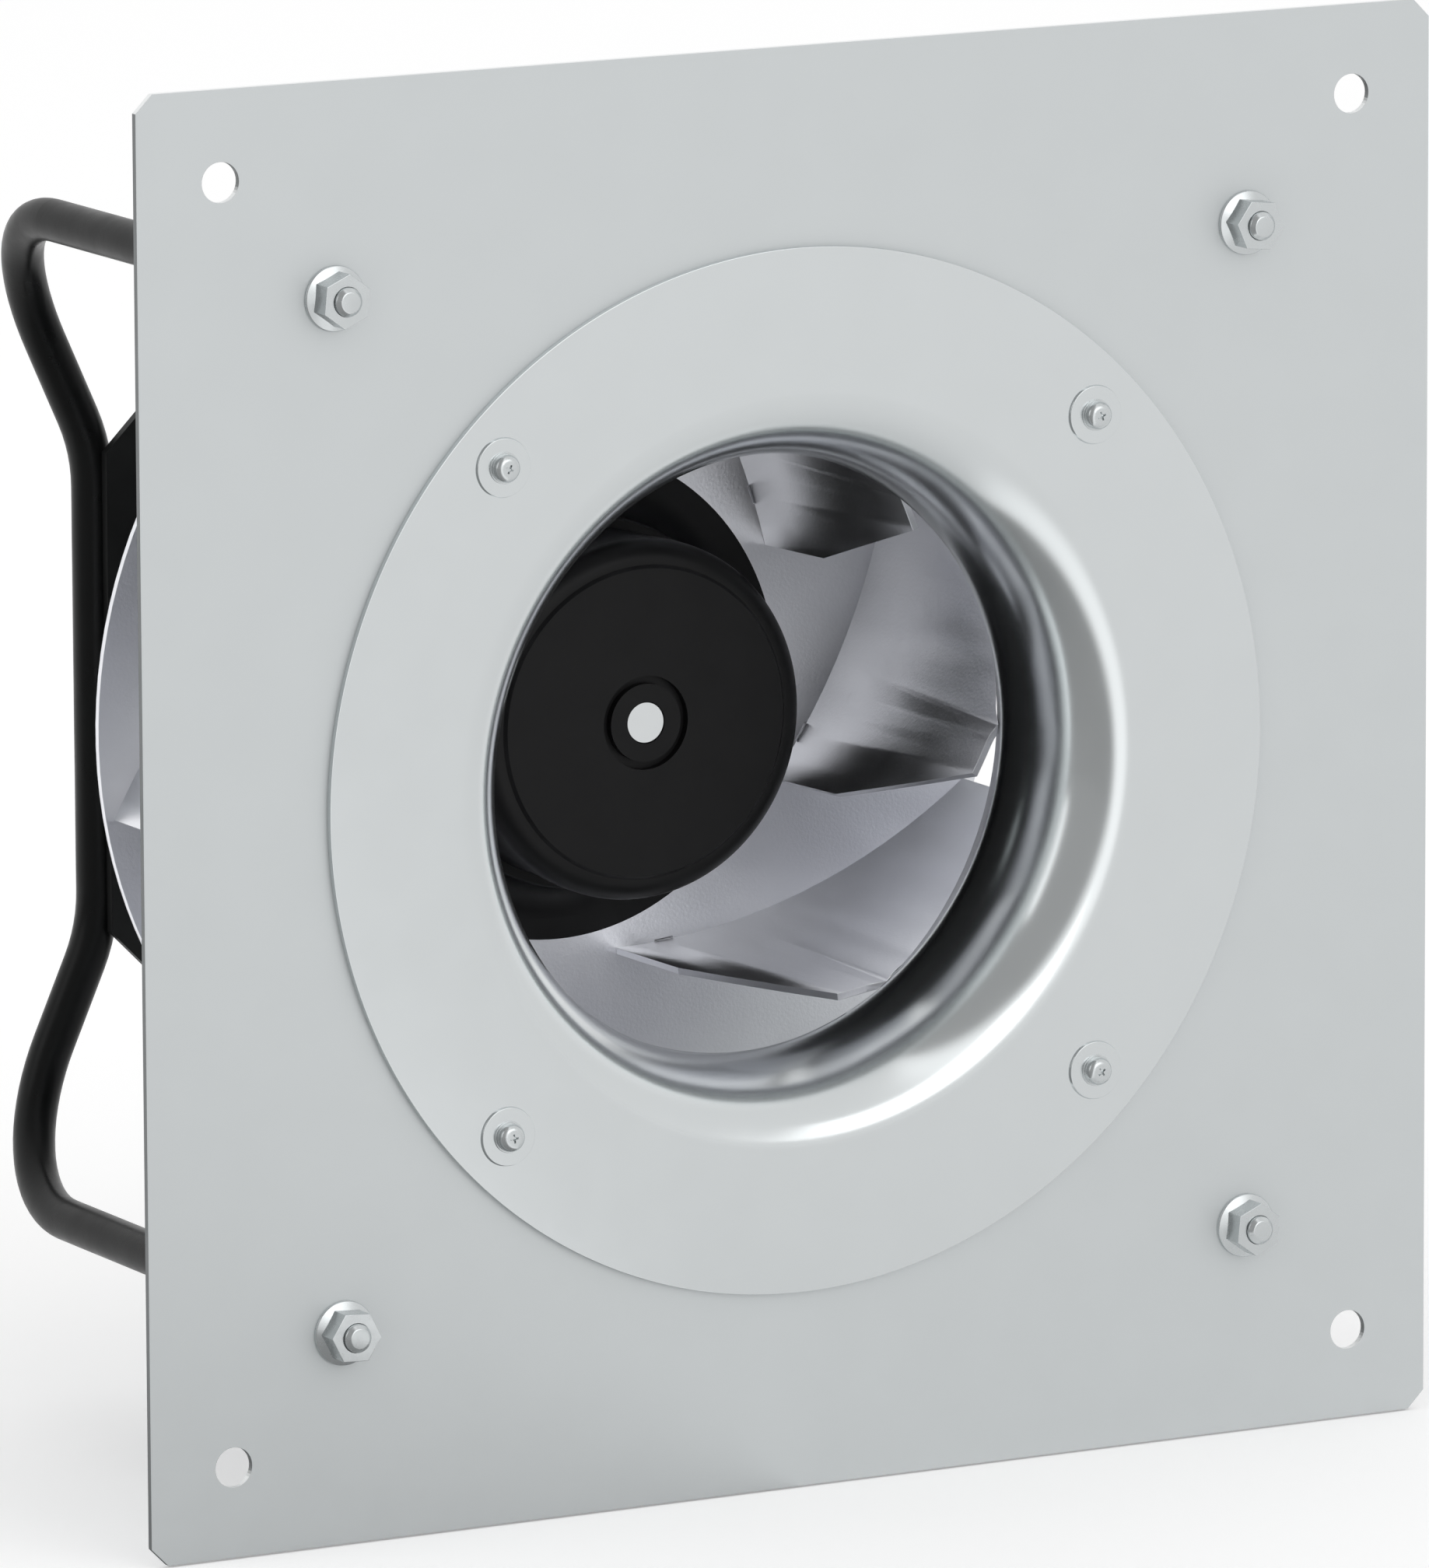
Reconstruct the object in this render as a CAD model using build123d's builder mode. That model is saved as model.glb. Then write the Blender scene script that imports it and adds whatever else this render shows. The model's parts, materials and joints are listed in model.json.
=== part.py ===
from build123d import *
import os
from math import acos, asin, atan2, cos, degrees, hypot, radians, sin, sqrt, tan

os.makedirs("parts", exist_ok=True)

# exhaust fan: a backward curved centrifugal wheel behind an inlet nozzle in a square plate
# millimetres; X to the right, Y backwards along the fan axis with the air, Z up
# the origin is where the fan axis meets the front face of the square plate

# square mounting plate
plate_side = 400.0
plate_thickness = 2.0
plate_corner_cut = 5.0
plate_opening_margin = 5.0
mount_pitch = plate_side - 50.0
mount_hole = 11.0

# inlet nozzle, pressed from sheet
nozzle_flange_radius = 145.0
nozzle_sheet = 2.0
bell_radius = 105.0
throat_radius = 84.0
bell_depth = 32.0
throat_end = 38.0
lip_length = 3.0
lip_flare = 0.7
nozzle_screw_circle = 130.0
nozzle_screw_count = 4
pad_base_radius = 8.3
pad_radius = 7.5
pad_height = 0.8

# M4 nozzle screws with their washers and rivet nuts
screw_thread = 4.0
screw_head_diameter = 8.2
screw_head_height = 1.5
screw_head_round = 0.8
screw_clearance = 0.25
cross_width = 2.4
cross_slot = 0.6
cross_depth = 1.0
flat_washer_diameter = 8.8
flat_washer_thickness = 0.4
spring_washer_diameter = 7.8
spring_washer_thickness = 0.5
spring_washer_split = 0.6
washer_clearance = 0.15
rivet_nut_body = 6.0
rivet_nut_length = 11.0
rivet_nut_rim = 1.2
rivet_nut_rim_height = 0.6
rivet_nut_bulge = 3.0
thread_clearance = 0.05

# bent tube frame and its M8 ends
frame_circle = plate_side / 2
tube_diameter = 12.0
tube_wall = 1.5
tube_rear = 214.7
tube_run_x = 108.9
tube_run_z = 68.6
arm_bend = 45.0
run_bend = 50.0
stud_thread = 8.0
nut_flange_diameter = 17.9
nut_flange_rim = 0.9
nut_flange_height = 2.6
nut_across_flats = 13.0
nut_height = 8.0
nut_chamfer_angle = 30.0
nut_turns = [-6, 24, -3, 24]
stud_reach = 10.0
stud_chamfer = 1.0
stud_hole_clearance = 0.5
plug_length = 22.0

# motor plate across the back of the frame
motor_plate_front = 205.6
motor_plate_thickness = 3.0
motor_plate_half_height = 92.0
motor_plate_opening = 30.0
motor_screw_circle = 42.0
motor_screw_count = 4
motor_screw_thread = 6.0
motor_screw_hole = 6.6
motor_screw_head = 10.0
motor_screw_head_height = 4.0
motor_washer_diameter = 12.0
motor_washer_thickness = 1.6
weld_length = 24.0
weld_leg = 4.0
weld_spacing = 92.0

# wheel
blade_count = 7
wheel_radius = 142.0
sheet = 2.0
back_disc_front = 145.0
hub_flange_radius = 70.0
hub_flange_front = 141.0
blade_outer_radius = 138.0
blade_inner_radius = 77.8
blade_nose_radius = 78.1
blade_nose_depth = 110.3
blade_front_radius = 83.7
blade_front_depth = 49.7
blade_arc_radius = 189.2
blade_start_angle = 28.7
blade_wrap_angle = 58.8
blade_shoulder_depth = 51.1
blade_corner = 7.5
shroud_inlet_radius = 88.7
shroud_inlet_start = 31.0
shroud_bend_start = 38.0
shroud_bend = 34.0
shroud_slope = 20.0
shroud_gap = 0.3
hub_screw_circle = 61.0
hub_screw_count = 7
hub_screw_head = 7.0
hub_screw_head_height = 2.2
hub_screw_thread = 4.0
hub_collar_start = 126.0
hub_collar_radius = 52.9
hub_collar_round = 11.0
tab_slot_length = 6.0
tab_slot_width = 0.5
tab_slot_radius = 82.2
tab_slot_angle = 38.5
tab_slot_turn = 71.0

# external rotor
rotor_radius = 50.0
rotor_front = 88.7
rotor_wall = 3.5
rotor_cap = 4.0
rotor_rim_radius = 43.5
rotor_rim_step = 0.9
rotor_corner = 6.0
rotor_bead = 1.0
rotor_bead_end = 100.7
rotor_groove_width = 2.3
rotor_groove_depth = 2.5
rotor_boss_radius = 11.0
rotor_boss_length = 14.0
magnet_thickness = 3.5
magnet_count = 8
magnet_gap = 2.0
magnet_start = 97.0
magnet_length = 36.0
shaft_radius = 6.0
shaft_inset = 0.2
shaft_chamfer = 0.35

# stator and bearings
air_gap = 0.8
stator_length = 30.0
stator_start = 100.0
slot_count = 12
slot_opening = 2.4
tooth_root = 7.0
tooth_tip = 2.7
slot_root_width = 7.4
slot_mouth_width = 13.6
coil_clearance = 0.8
coil_width = 13.0
coil_bore = 8.2
coil_overhang = 3.4
coil_corner = 2.2
bearing_outside = 16.0
bearing_width = 10.0
bearing_fit = 0.05
bearing_shoulder = 2.0
front_bearing = 108.0
rear_bearing = 142.0
ball_radius = 2.9
ball_circle = 11.0
ball_count = 7
ball_clearance = 0.05
race_lip = 2.0
race_edge = 1.3
race_slope = 0.5
ring_thickness = 1.0
ring_reach = 2.5
ring_mouth = 5.0
bearing_tube_radius = 20.0

# electronics housing, board and cable gland
housing_radius = 52.0
housing_front = 151.0
housing_flange = 4.0
housing_wall = 3.0
housing_back_wall = 4.0
fin_height = 6.0
fin_count = 24
fin_thickness = 2.4
fin_front_margin = 12.0
fin_back_margin = 5.0
flange_hole = 8.0
flange_hole_circle = 32.0
flange_hole_count = 3
boss_radius = 6.0
boss_length = 16.0
boss_floor = 2.0
post_radius = 3.0
post_circle = 34.0
post_count = 4
board_depth = 168.0
board_thickness = 1.6
board_gap = 2.0
board_hole = 20.0
board_screw_hole = 3.2
capacitor_length = 24.0
module_height = 14.0
gland_drop = 8.0
gland_hex = 24.0
gland_hex_height = 6.0
gland_thread = 8.0
gland_thread_length = 8.0
gland_bore = 5.0
gland_nut_radius = 11.5
gland_nut_length = 13.0
gland_nut_straight = 7.0
gland_nut_mouth = 6.4
gland_nut_bore = 7.2
gland_nut_lip = 2.0


def facing(depth):
    """Plane square to the fan axis whose sketch x is X and sketch y is Z."""
    return Plane(origin=(0, depth, 0), x_dir=(1, 0, 0), z_dir=(0, -1, 0))


def turn(points, mode=Mode.ADD, softened=()):
    """Add or cut a ring turned about the fan axis from (radius, depth) corners.

    softened lists (corner, radius) pairs, and those corners are rounded.
    """
    with BuildSketch(Plane.XY) as profile:
        with BuildLine():
            Polyline(*points, close=True)
        make_face()
        for corner, radius in softened:
            fillet(vertices().sort_by_distance((corner[0], corner[1], 0))[0], radius)
    revolve(profile.sketch, axis=Axis.Y, mode=mode)


def ring(outer, inner, near, far, mode=Mode.ADD, middle=(0, 0)):
    """Add or cut a plain ring from depth near to depth far, or a bar where inner is 0."""
    with BuildSketch(facing(far)) as circles:
        with Locations(middle):
            Circle(outer)
            if inner > 0:
                Circle(inner, mode=Mode.SUBTRACT)
    extrude(circles.sketch, amount=far - near, mode=mode)


def rounds(radius, near, far, circle, count, start=0.0, mode=Mode.ADD):
    """Round bars or holes from depth near to depth far on a pitch circle."""
    with BuildSketch(facing(far)) as bars:
        with PolarLocations(circle, count, start_angle=start):
            Circle(radius)
    extrude(bars.sketch, amount=far - near, mode=mode)


def frame_rounds(radius, near, far, mode=Mode.ADD):
    """Round bars or holes at the four frame studs."""
    rounds(radius, near, far, frame_circle, 4, 45, mode)


def nozzle_rounds(radius, near, far, mode=Mode.ADD):
    """Round bars or holes at the nozzle screws."""
    rounds(radius, near, far, nozzle_screw_circle, nozzle_screw_count, 45, mode)


# seats shared by the pieces
flange_front = -nozzle_sheet
pad_top = flange_front - pad_height
flat_washer_top = pad_top - flat_washer_thickness
spring_washer_top = flat_washer_top - spring_washer_thickness
screw_head_top = spring_washer_top - screw_head_height
back_disc_back = back_disc_front + sheet
motor_plate_back = motor_plate_front + motor_plate_thickness
tube_radius = tube_diameter / 2
tube_bore = tube_radius - tube_wall
stud_radius = stud_thread / 2
screw_radius = screw_thread / 2
frame_offset = frame_circle * cos(radians(45))
blade_pitch = 360 / blade_count

# mounting plate with its round opening, corner cuts and holes
with BuildPart() as mounting_plate:
    with BuildSketch(facing(plate_thickness)):
        Rectangle(plate_side, plate_side)
        chamfer(vertices(), plate_corner_cut)
        Circle(bell_radius + plate_opening_margin, mode=Mode.SUBTRACT)
        with GridLocations(mount_pitch, mount_pitch, 2, 2):
            Circle(mount_hole / 2, mode=Mode.SUBTRACT)
    extrude(amount=plate_thickness)
    frame_rounds(stud_radius + stud_hole_clearance, 0, plate_thickness, Mode.SUBTRACT)
    nozzle_rounds(rivet_nut_body / 2 + 0.1, 0, plate_thickness, Mode.SUBTRACT)
mounting_plate.part.label = "mounting_plate"
export_step(mounting_plate.part, "parts/mounting_plate.step")

# inlet nozzle: flat ring, quarter ellipse bell, slightly flared lip and raised screw pads
bell_centre = (bell_radius, bell_depth)
bell_reach = bell_radius - throat_radius
bell_rise = bell_depth - flange_front
lip_radius = throat_radius + lip_flare
lip_start = throat_end - lip_length
with BuildPart() as inlet_nozzle:
    with BuildSketch(Plane.XY):
        with BuildLine():
            EllipticalCenterArc(bell_centre, bell_reach, bell_rise, 180, arc_size=90)
            Polyline(
                (throat_radius, bell_depth),
                (throat_radius, lip_start),
                (lip_radius, throat_end),
                (lip_radius + nozzle_sheet, throat_end),
                (throat_radius + nozzle_sheet, lip_start),
                (throat_radius + nozzle_sheet, bell_depth),
            )
            EllipticalCenterArc(bell_centre, bell_reach - nozzle_sheet, bell_depth, 180, arc_size=90)
            Polyline(
                (bell_radius, 0),
                (nozzle_flange_radius, 0),
                (nozzle_flange_radius, flange_front),
                (bell_radius, flange_front),
            )
        make_face()
    revolve(axis=Axis.Y)
    with BuildSketch(facing(flange_front)):
        with PolarLocations(nozzle_screw_circle, nozzle_screw_count, start_angle=45):
            Circle(pad_base_radius)
    extrude(amount=pad_height, taper=degrees(atan2(pad_base_radius - pad_radius, pad_height)))
    nozzle_rounds(pad_radius - nozzle_sheet, -pad_height, 0, Mode.SUBTRACT)
    nozzle_rounds(screw_radius + screw_clearance, pad_top, 0, Mode.SUBTRACT)
inlet_nozzle.part.label = "inlet_nozzle"
export_step(inlet_nozzle.part, "parts/inlet_nozzle.step")

# rivet nuts set in the plate behind the nozzle pads
with BuildPart() as rivet_nuts:
    nozzle_rounds(rivet_nut_body / 2, 0, rivet_nut_length)
    nozzle_rounds(rivet_nut_body / 2 + rivet_nut_rim, -rivet_nut_rim_height, 0)
    nozzle_rounds(rivet_nut_body / 2 + rivet_nut_rim, plate_thickness, plate_thickness + rivet_nut_bulge)
    nozzle_rounds(screw_radius + thread_clearance, -rivet_nut_rim_height, rivet_nut_length, Mode.SUBTRACT)
rivet_nuts.part.label = "rivet_nuts"
export_step(rivet_nuts.part, "parts/rivet_nuts.step")

# flat washers on the nozzle pads
with BuildPart() as nozzle_flat_washers:
    nozzle_rounds(flat_washer_diameter / 2, flat_washer_top, pad_top)
    nozzle_rounds(screw_radius + washer_clearance, flat_washer_top, pad_top, Mode.SUBTRACT)
nozzle_flat_washers.part.label = "nozzle_flat_washers"
export_step(nozzle_flat_washers.part, "parts/nozzle_flat_washers.step")

# split spring washers under the screw heads
with BuildPart() as nozzle_spring_washers:
    with BuildSketch(facing(flat_washer_top)):
        with PolarLocations(nozzle_screw_circle, nozzle_screw_count, start_angle=45, rotate=False):
            Circle(spring_washer_diameter / 2)
            Circle(screw_radius + washer_clearance, mode=Mode.SUBTRACT)
        with PolarLocations(nozzle_screw_circle, nozzle_screw_count, start_angle=45, rotate=False):
            with Locations((0, -spring_washer_diameter / 2)):
                Rectangle(spring_washer_split, spring_washer_diameter / 2 + 1, mode=Mode.SUBTRACT)
    extrude(amount=spring_washer_thickness)
nozzle_spring_washers.part.label = "nozzle_spring_washers"
export_step(nozzle_spring_washers.part, "parts/nozzle_spring_washers.step")

# pan head screws with a cross recess
with BuildPart() as nozzle_screws:
    nozzle_rounds(screw_head_diameter / 2, screw_head_top, spring_washer_top)
    head_rims = nozzle_screws.edges().filter_by(GeomType.CIRCLE).group_by(Axis.Y)[0]
    fillet(head_rims, screw_head_round)
    nozzle_rounds(screw_radius, spring_washer_top, rivet_nut_length + 1)
    with BuildSketch(facing(screw_head_top)):
        with PolarLocations(nozzle_screw_circle, nozzle_screw_count, start_angle=45, rotate=False):
            Rectangle(cross_width, cross_slot)
            Rectangle(cross_slot, cross_width)
    extrude(amount=-cross_depth, mode=Mode.SUBTRACT)
nozzle_screws.part.label = "nozzle_screws"
export_step(nozzle_screws.part, "parts/nozzle_screws.step")


def frame_tube(side):
    """Sweep one side tube from the plate, round the back and home again; side is -1 or 1."""
    x = side * frame_offset
    run = side * tube_run_x
    corners = [
        (x, plate_thickness, frame_offset),
        (x, tube_rear, frame_offset),
        (run, tube_rear, tube_run_z),
        (run, tube_rear, -tube_run_z),
        (x, tube_rear, -frame_offset),
        (x, plate_thickness, -frame_offset),
    ]
    with BuildLine() as path:
        FilletPolyline(*corners, radius=[arm_bend, run_bend, run_bend, arm_bend])
    with BuildSketch(Plane(origin=corners[0], x_dir=(1, 0, 0), z_dir=(0, 1, 0))) as wall:
        Circle(tube_radius)
        Circle(tube_bore, mode=Mode.SUBTRACT)
    sweep(wall.sketch, path=path.line)


with BuildPart() as frame_tube_left:
    frame_tube(-1)
frame_tube_left.part.label = "frame_tube_left"
export_step(frame_tube_left.part, "parts/frame_tube_left.step")

with BuildPart() as frame_tube_right:
    frame_tube(1)
frame_tube_right.part.label = "frame_tube_right"
export_step(frame_tube_right.part, "parts/frame_tube_right.step")

# threaded ends: a plug in each tube mouth with an M8 stud through the plate
with BuildPart() as frame_studs:
    frame_rounds(stud_radius, -stud_reach, plate_thickness)
    stud_tips = frame_studs.edges().filter_by(GeomType.CIRCLE).group_by(Axis.Y)[0]
    chamfer(stud_tips, stud_chamfer)
    frame_rounds(tube_bore - thread_clearance, plate_thickness, plate_thickness + plug_length)
frame_studs.part.label = "frame_studs"
export_step(frame_studs.part, "parts/frame_studs.step")

# one flange nut: hexagon with its corners turned down, on a conical skirt
nut_corner = nut_across_flats / 2 / cos(radians(30))
nut_face_radius = nut_across_flats / 2 - 0.2
nut_corner_drop = (nut_corner - nut_face_radius) * tan(radians(nut_chamfer_angle))
with BuildPart() as one_nut:
    with BuildSketch(facing(0)):
        RegularPolygon(nut_corner, 6)
    extrude(amount=nut_height)
    turn(
        [
            (0, 0),
            (nut_corner + 1, 0),
            (nut_corner + 1, nut_corner_drop + tan(radians(nut_chamfer_angle)) - nut_height),
            (nut_face_radius, -nut_height),
            (0, -nut_height),
        ],
        Mode.INTERSECT,
    )
    turn(
        [
            (0, 0),
            (nut_flange_diameter / 2, 0),
            (nut_flange_diameter / 2, -nut_flange_rim),
            (nut_across_flats / 2, -nut_flange_height),
            (0, -nut_flange_height),
        ]
    )
    ring(stud_radius + thread_clearance, 0, -nut_height, 0, Mode.SUBTRACT)

# flange nuts that hold the frame to the plate, each as far round as it stopped
with BuildPart() as frame_nuts:
    for index, turned in enumerate(nut_turns):
        angle = radians(45 + 90 * index)
        seat = Location((frame_circle * cos(angle), 0, frame_circle * sin(angle)))
        add(one_nut.part.rotate(Axis.Y, -turned).moved(seat))
frame_nuts.part.label = "frame_nuts"
export_step(frame_nuts.part, "parts/frame_nuts.step")

# plate across the back of the frame that carries the motor
plate_cut = motor_plate_half_height - tube_run_z
with BuildPart() as motor_plate:
    with BuildSketch(facing(motor_plate_back)):
        Rectangle(2 * tube_run_x, 2 * motor_plate_half_height)
        chamfer(vertices(), plate_cut)
        Circle(motor_plate_opening, mode=Mode.SUBTRACT)
        with PolarLocations(motor_screw_circle, motor_screw_count, start_angle=45):
            Circle(motor_screw_hole / 2, mode=Mode.SUBTRACT)
    extrude(amount=motor_plate_thickness)
motor_plate.part.label = "motor_plate"
export_step(motor_plate.part, "parts/motor_plate.step")

# weld seams between the motor plate and the two tubes
weld_seat = tube_run_x - tube_radius * sin(radians(60))
with BuildPart() as frame_welds:
    for side in (-1, 1):
        for height in (-weld_spacing / 2, weld_spacing / 2):
            with Locations((side * (weld_seat - weld_leg / 2), motor_plate_back + weld_leg / 2, height)):
                Box(weld_leg * 1.6, weld_leg, weld_length)
        with Locations((side * tube_run_x, tube_rear, 0)):
            Cylinder(tube_radius, 2 * weld_spacing, mode=Mode.SUBTRACT)
    weld_edges = frame_welds.edges().filter_by(Axis.Z).group_by(Axis.Y)[-1]
    chamfer(weld_edges, weld_leg * 0.55)
frame_welds.part.label = "frame_welds"
export_step(frame_welds.part, "parts/frame_welds.step")

# rotor cup: cap with a ring groove round the shaft end, rolled corner, bead and wall
rotor_back = back_disc_front - 1
cup_bore = rotor_radius - rotor_wall
bead_radius = rotor_radius + rotor_bead
groove_floor = rotor_front + rotor_groove_depth
groove_outside = rotor_boss_radius + rotor_groove_width
cup_floor = rotor_front + rotor_cap
rotor_rim_front = rotor_front + rotor_rim_step
with BuildPart() as rotor_cup:
    turn(
        [
            (shaft_radius, rotor_front),
            (rotor_boss_radius, rotor_front),
            (rotor_boss_radius, groove_floor),
            (groove_outside, groove_floor),
            (groove_outside, rotor_front),
            (rotor_rim_radius, rotor_front),
            (rotor_rim_radius + rotor_rim_step, rotor_rim_front),
            (bead_radius, rotor_rim_front),
            (bead_radius, rotor_bead_end),
            (rotor_radius, rotor_bead_end + rotor_bead),
            (rotor_radius, rotor_back),
            (cup_bore, rotor_back),
            (cup_bore, cup_floor),
            (rotor_boss_radius, cup_floor),
            (rotor_boss_radius, rotor_front + rotor_boss_length),
            (shaft_radius, rotor_front + rotor_boss_length),
        ],
        softened=[
            ((bead_radius, rotor_rim_front), rotor_corner),
            ((cup_bore, cup_floor), rotor_wall / 2),
        ],
    )
rotor_cup.part.label = "rotor_cup"
export_step(rotor_cup.part, "parts/rotor_cup.step")

# curved magnets bonded inside the cup
magnet_inner = cup_bore - magnet_thickness
with BuildPart() as magnets:
    ring(cup_bore, magnet_inner, magnet_start, magnet_start + magnet_length)
    with BuildSketch(facing(magnet_start + magnet_length)):
        with PolarLocations(cup_bore - magnet_thickness / 2, magnet_count):
            Rectangle(magnet_thickness + 4, magnet_gap)
    extrude(amount=magnet_length, mode=Mode.SUBTRACT)
magnets.part.label = "magnets"
export_step(magnets.part, "parts/magnets.step")

# shaft with a retaining ring groove at the back
bearing_end = rear_bearing + bearing_width
ring_groove = bearing_end + 0.1
groove_width = ring_thickness + 0.1
ring_seat = shaft_radius - 0.5
shaft_back = bearing_end + 6
with BuildPart() as shaft:
    ring(shaft_radius, 0, rotor_front + shaft_inset, shaft_back)
    chamfer(shaft.edges().filter_by(GeomType.CIRCLE), shaft_chamfer)
    ring(shaft_radius + 1, ring_seat, ring_groove, ring_groove + groove_width, Mode.SUBTRACT)
shaft.part.label = "shaft"
export_step(shaft.part, "parts/shaft.step")

# retaining ring in its groove
with BuildPart() as shaft_ring:
    with BuildSketch(facing(ring_groove + groove_width - thread_clearance)):
        Circle(shaft_radius + ring_reach)
        Circle(ring_seat + thread_clearance, mode=Mode.SUBTRACT)
        with Locations((0, -shaft_radius - 1)):
            Rectangle(ring_mouth, ring_mouth, mode=Mode.SUBTRACT)
    extrude(amount=ring_thickness)
shaft_ring.part.label = "shaft_ring"
export_step(shaft_ring.part, "parts/shaft_ring.step")

# hub flange: collar round the cup that sweeps out to a flat rim for the back disc
flange_sheet = 0.8
with BuildPart() as hub_flange:
    turn(
        [
            (rotor_radius, hub_collar_start),
            (hub_collar_radius, hub_collar_start),
            (hub_collar_radius, hub_flange_front),
            (hub_flange_radius, hub_flange_front),
            (hub_flange_radius, back_disc_front),
            (rotor_radius, back_disc_front),
        ],
        softened=[
            ((hub_collar_radius, hub_flange_front), hub_collar_round),
            ((hub_collar_radius, hub_collar_start), 0.7),
        ],
    )
    rounds(
        hub_screw_thread / 2 + thread_clearance,
        hub_flange_front + flange_sheet,
        back_disc_front,
        hub_screw_circle,
        hub_screw_count,
        0,
        Mode.SUBTRACT,
    )
hub_flange.part.label = "hub_flange"
export_step(hub_flange.part, "parts/hub_flange.step")

# back disc of the wheel with a slot for the tab of each blade
with BuildPart() as back_disc:
    with BuildSketch(facing(back_disc_back)):
        Circle(wheel_radius)
        Circle(rotor_radius + 2.5, mode=Mode.SUBTRACT)
        with PolarLocations(hub_screw_circle, hub_screw_count):
            Circle(hub_screw_thread / 2 + 0.35, mode=Mode.SUBTRACT)
        with PolarLocations(tab_slot_radius, blade_count, start_angle=tab_slot_angle):
            SlotOverall(tab_slot_length, tab_slot_width, rotation=tab_slot_turn, mode=Mode.SUBTRACT)
    extrude(amount=sheet)
back_disc.part.label = "back_disc"
export_step(back_disc.part, "parts/back_disc.step")

# screws that join the back disc to the hub flange from behind
with BuildPart() as hub_screws:
    head_back = back_disc_back + hub_screw_head_height
    rounds(hub_screw_head / 2, back_disc_back, head_back, hub_screw_circle, hub_screw_count)
    rounds(hub_screw_thread / 2, hub_flange_front + 1, back_disc_back, hub_screw_circle, hub_screw_count)
    rounds(
        hub_screw_thread / 2 - 0.15,
        head_back - hub_screw_head_height / 2,
        head_back,
        hub_screw_circle,
        hub_screw_count,
        0,
        Mode.SUBTRACT,
    )
hub_screws.part.label = "hub_screws"
export_step(hub_screws.part, "parts/hub_screws.step")

# shroud: inlet ring, round bend and straight cone, all one sheet
slope = radians(shroud_slope)
bend_centre = (shroud_inlet_radius + shroud_bend, shroud_bend_start)
inner_bend_end = (
    bend_centre[0] - shroud_bend * sin(slope),
    bend_centre[1] + shroud_bend * cos(slope),
)
outer_bend_end = (
    bend_centre[0] - (shroud_bend - sheet) * sin(slope),
    bend_centre[1] + (shroud_bend - sheet) * cos(slope),
)
cone_rise = (wheel_radius - inner_bend_end[0]) * tan(slope)
shroud_rim_depth = inner_bend_end[1] + cone_rise
with BuildPart() as shroud:
    with BuildSketch(Plane.XY):
        with BuildLine():
            Line((shroud_inlet_radius, shroud_inlet_start), (shroud_inlet_radius, shroud_bend_start))
            CenterArc(bend_centre, shroud_bend, 180, -(90 - shroud_slope))
            Polyline(
                inner_bend_end,
                (wheel_radius, shroud_rim_depth),
                (wheel_radius, shroud_rim_depth - sheet / cos(slope)),
                outer_bend_end,
            )
            CenterArc(bend_centre, shroud_bend - sheet, 180, -(90 - shroud_slope))
            Polyline(
                (shroud_inlet_radius + sheet, shroud_bend_start),
                (shroud_inlet_radius + sheet, shroud_inlet_start),
                (shroud_inlet_radius, shroud_inlet_start),
            )
        make_face()
    revolve(axis=Axis.Y)
shroud.part.label = "shroud"
export_step(shroud.part, "parts/shroud.step")

# the arc of one blade, from its nose to its tip, seen along the fan axis
nose = (
    blade_nose_radius * cos(radians(blade_start_angle)),
    blade_nose_radius * sin(radians(blade_start_angle)),
)
tip_angle = blade_start_angle + blade_wrap_angle
tip = (blade_outer_radius * cos(radians(tip_angle)), blade_outer_radius * sin(radians(tip_angle)))
chord = hypot(tip[0] - nose[0], tip[1] - nose[1])
chord_angle = atan2(tip[1] - nose[1], tip[0] - nose[0])
chord_offset = sqrt(blade_arc_radius**2 - (chord / 2) ** 2)
arc_centre = (
    (nose[0] + tip[0]) / 2 - chord_offset * sin(chord_angle),
    (nose[1] + tip[1]) / 2 + chord_offset * cos(chord_angle),
)
arc_centre_distance = hypot(*arc_centre)
arc_centre_angle = atan2(arc_centre[1], arc_centre[0])
arc_sweep = 2 * degrees(asin(chord / 2 / blade_arc_radius))
arc_start = degrees(chord_angle) - 90 - arc_sweep / 2
overrun = 3.0


def arc_angle(radius):
    """Angle about the blade's arc centre at which the blade is that far from the fan axis."""
    square = radius**2 - arc_centre_distance**2 - blade_arc_radius**2
    return arc_centre_angle - acos(square / (2 * arc_centre_distance * blade_arc_radius))


def along(radius):
    """Distance along the blade's front corner tangent to the point at that radius."""
    return blade_arc_radius * sin(arc_angle(radius) - arc_angle(blade_front_radius))


# the sheet is flat enough at its inlet edge to be cut square in the plane that touches it there
corner_angle = arc_angle(blade_front_radius)
corner_plane = Plane(
    origin=(
        arc_centre[0] + blade_arc_radius * cos(corner_angle),
        0,
        arc_centre[1] + blade_arc_radius * sin(corner_angle),
    ),
    x_dir=(-sin(corner_angle), 0, cos(corner_angle)),
    z_dir=(-cos(corner_angle), 0, -sin(corner_angle)),
)
edge_radius = shroud_bend + shroud_gap
edge_bend_end = (bend_centre[0] - edge_radius * sin(slope), bend_centre[1] + edge_radius * cos(slope))
edge_rim_depth = edge_bend_end[1] + (wheel_radius - edge_bend_end[0]) * tan(slope)
shoulder_radius = bend_centre[0] - sqrt(edge_radius**2 - (blade_shoulder_depth - shroud_bend_start) ** 2)
shoulder = along(shoulder_radius)
foot_start = arc_start - overrun
foot_sweep = arc_sweep + overrun
front_corner = corner_plane.from_local_coords((0, blade_front_depth, 0))
cut_back = 30.0
cut_reach = 12.0
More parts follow.
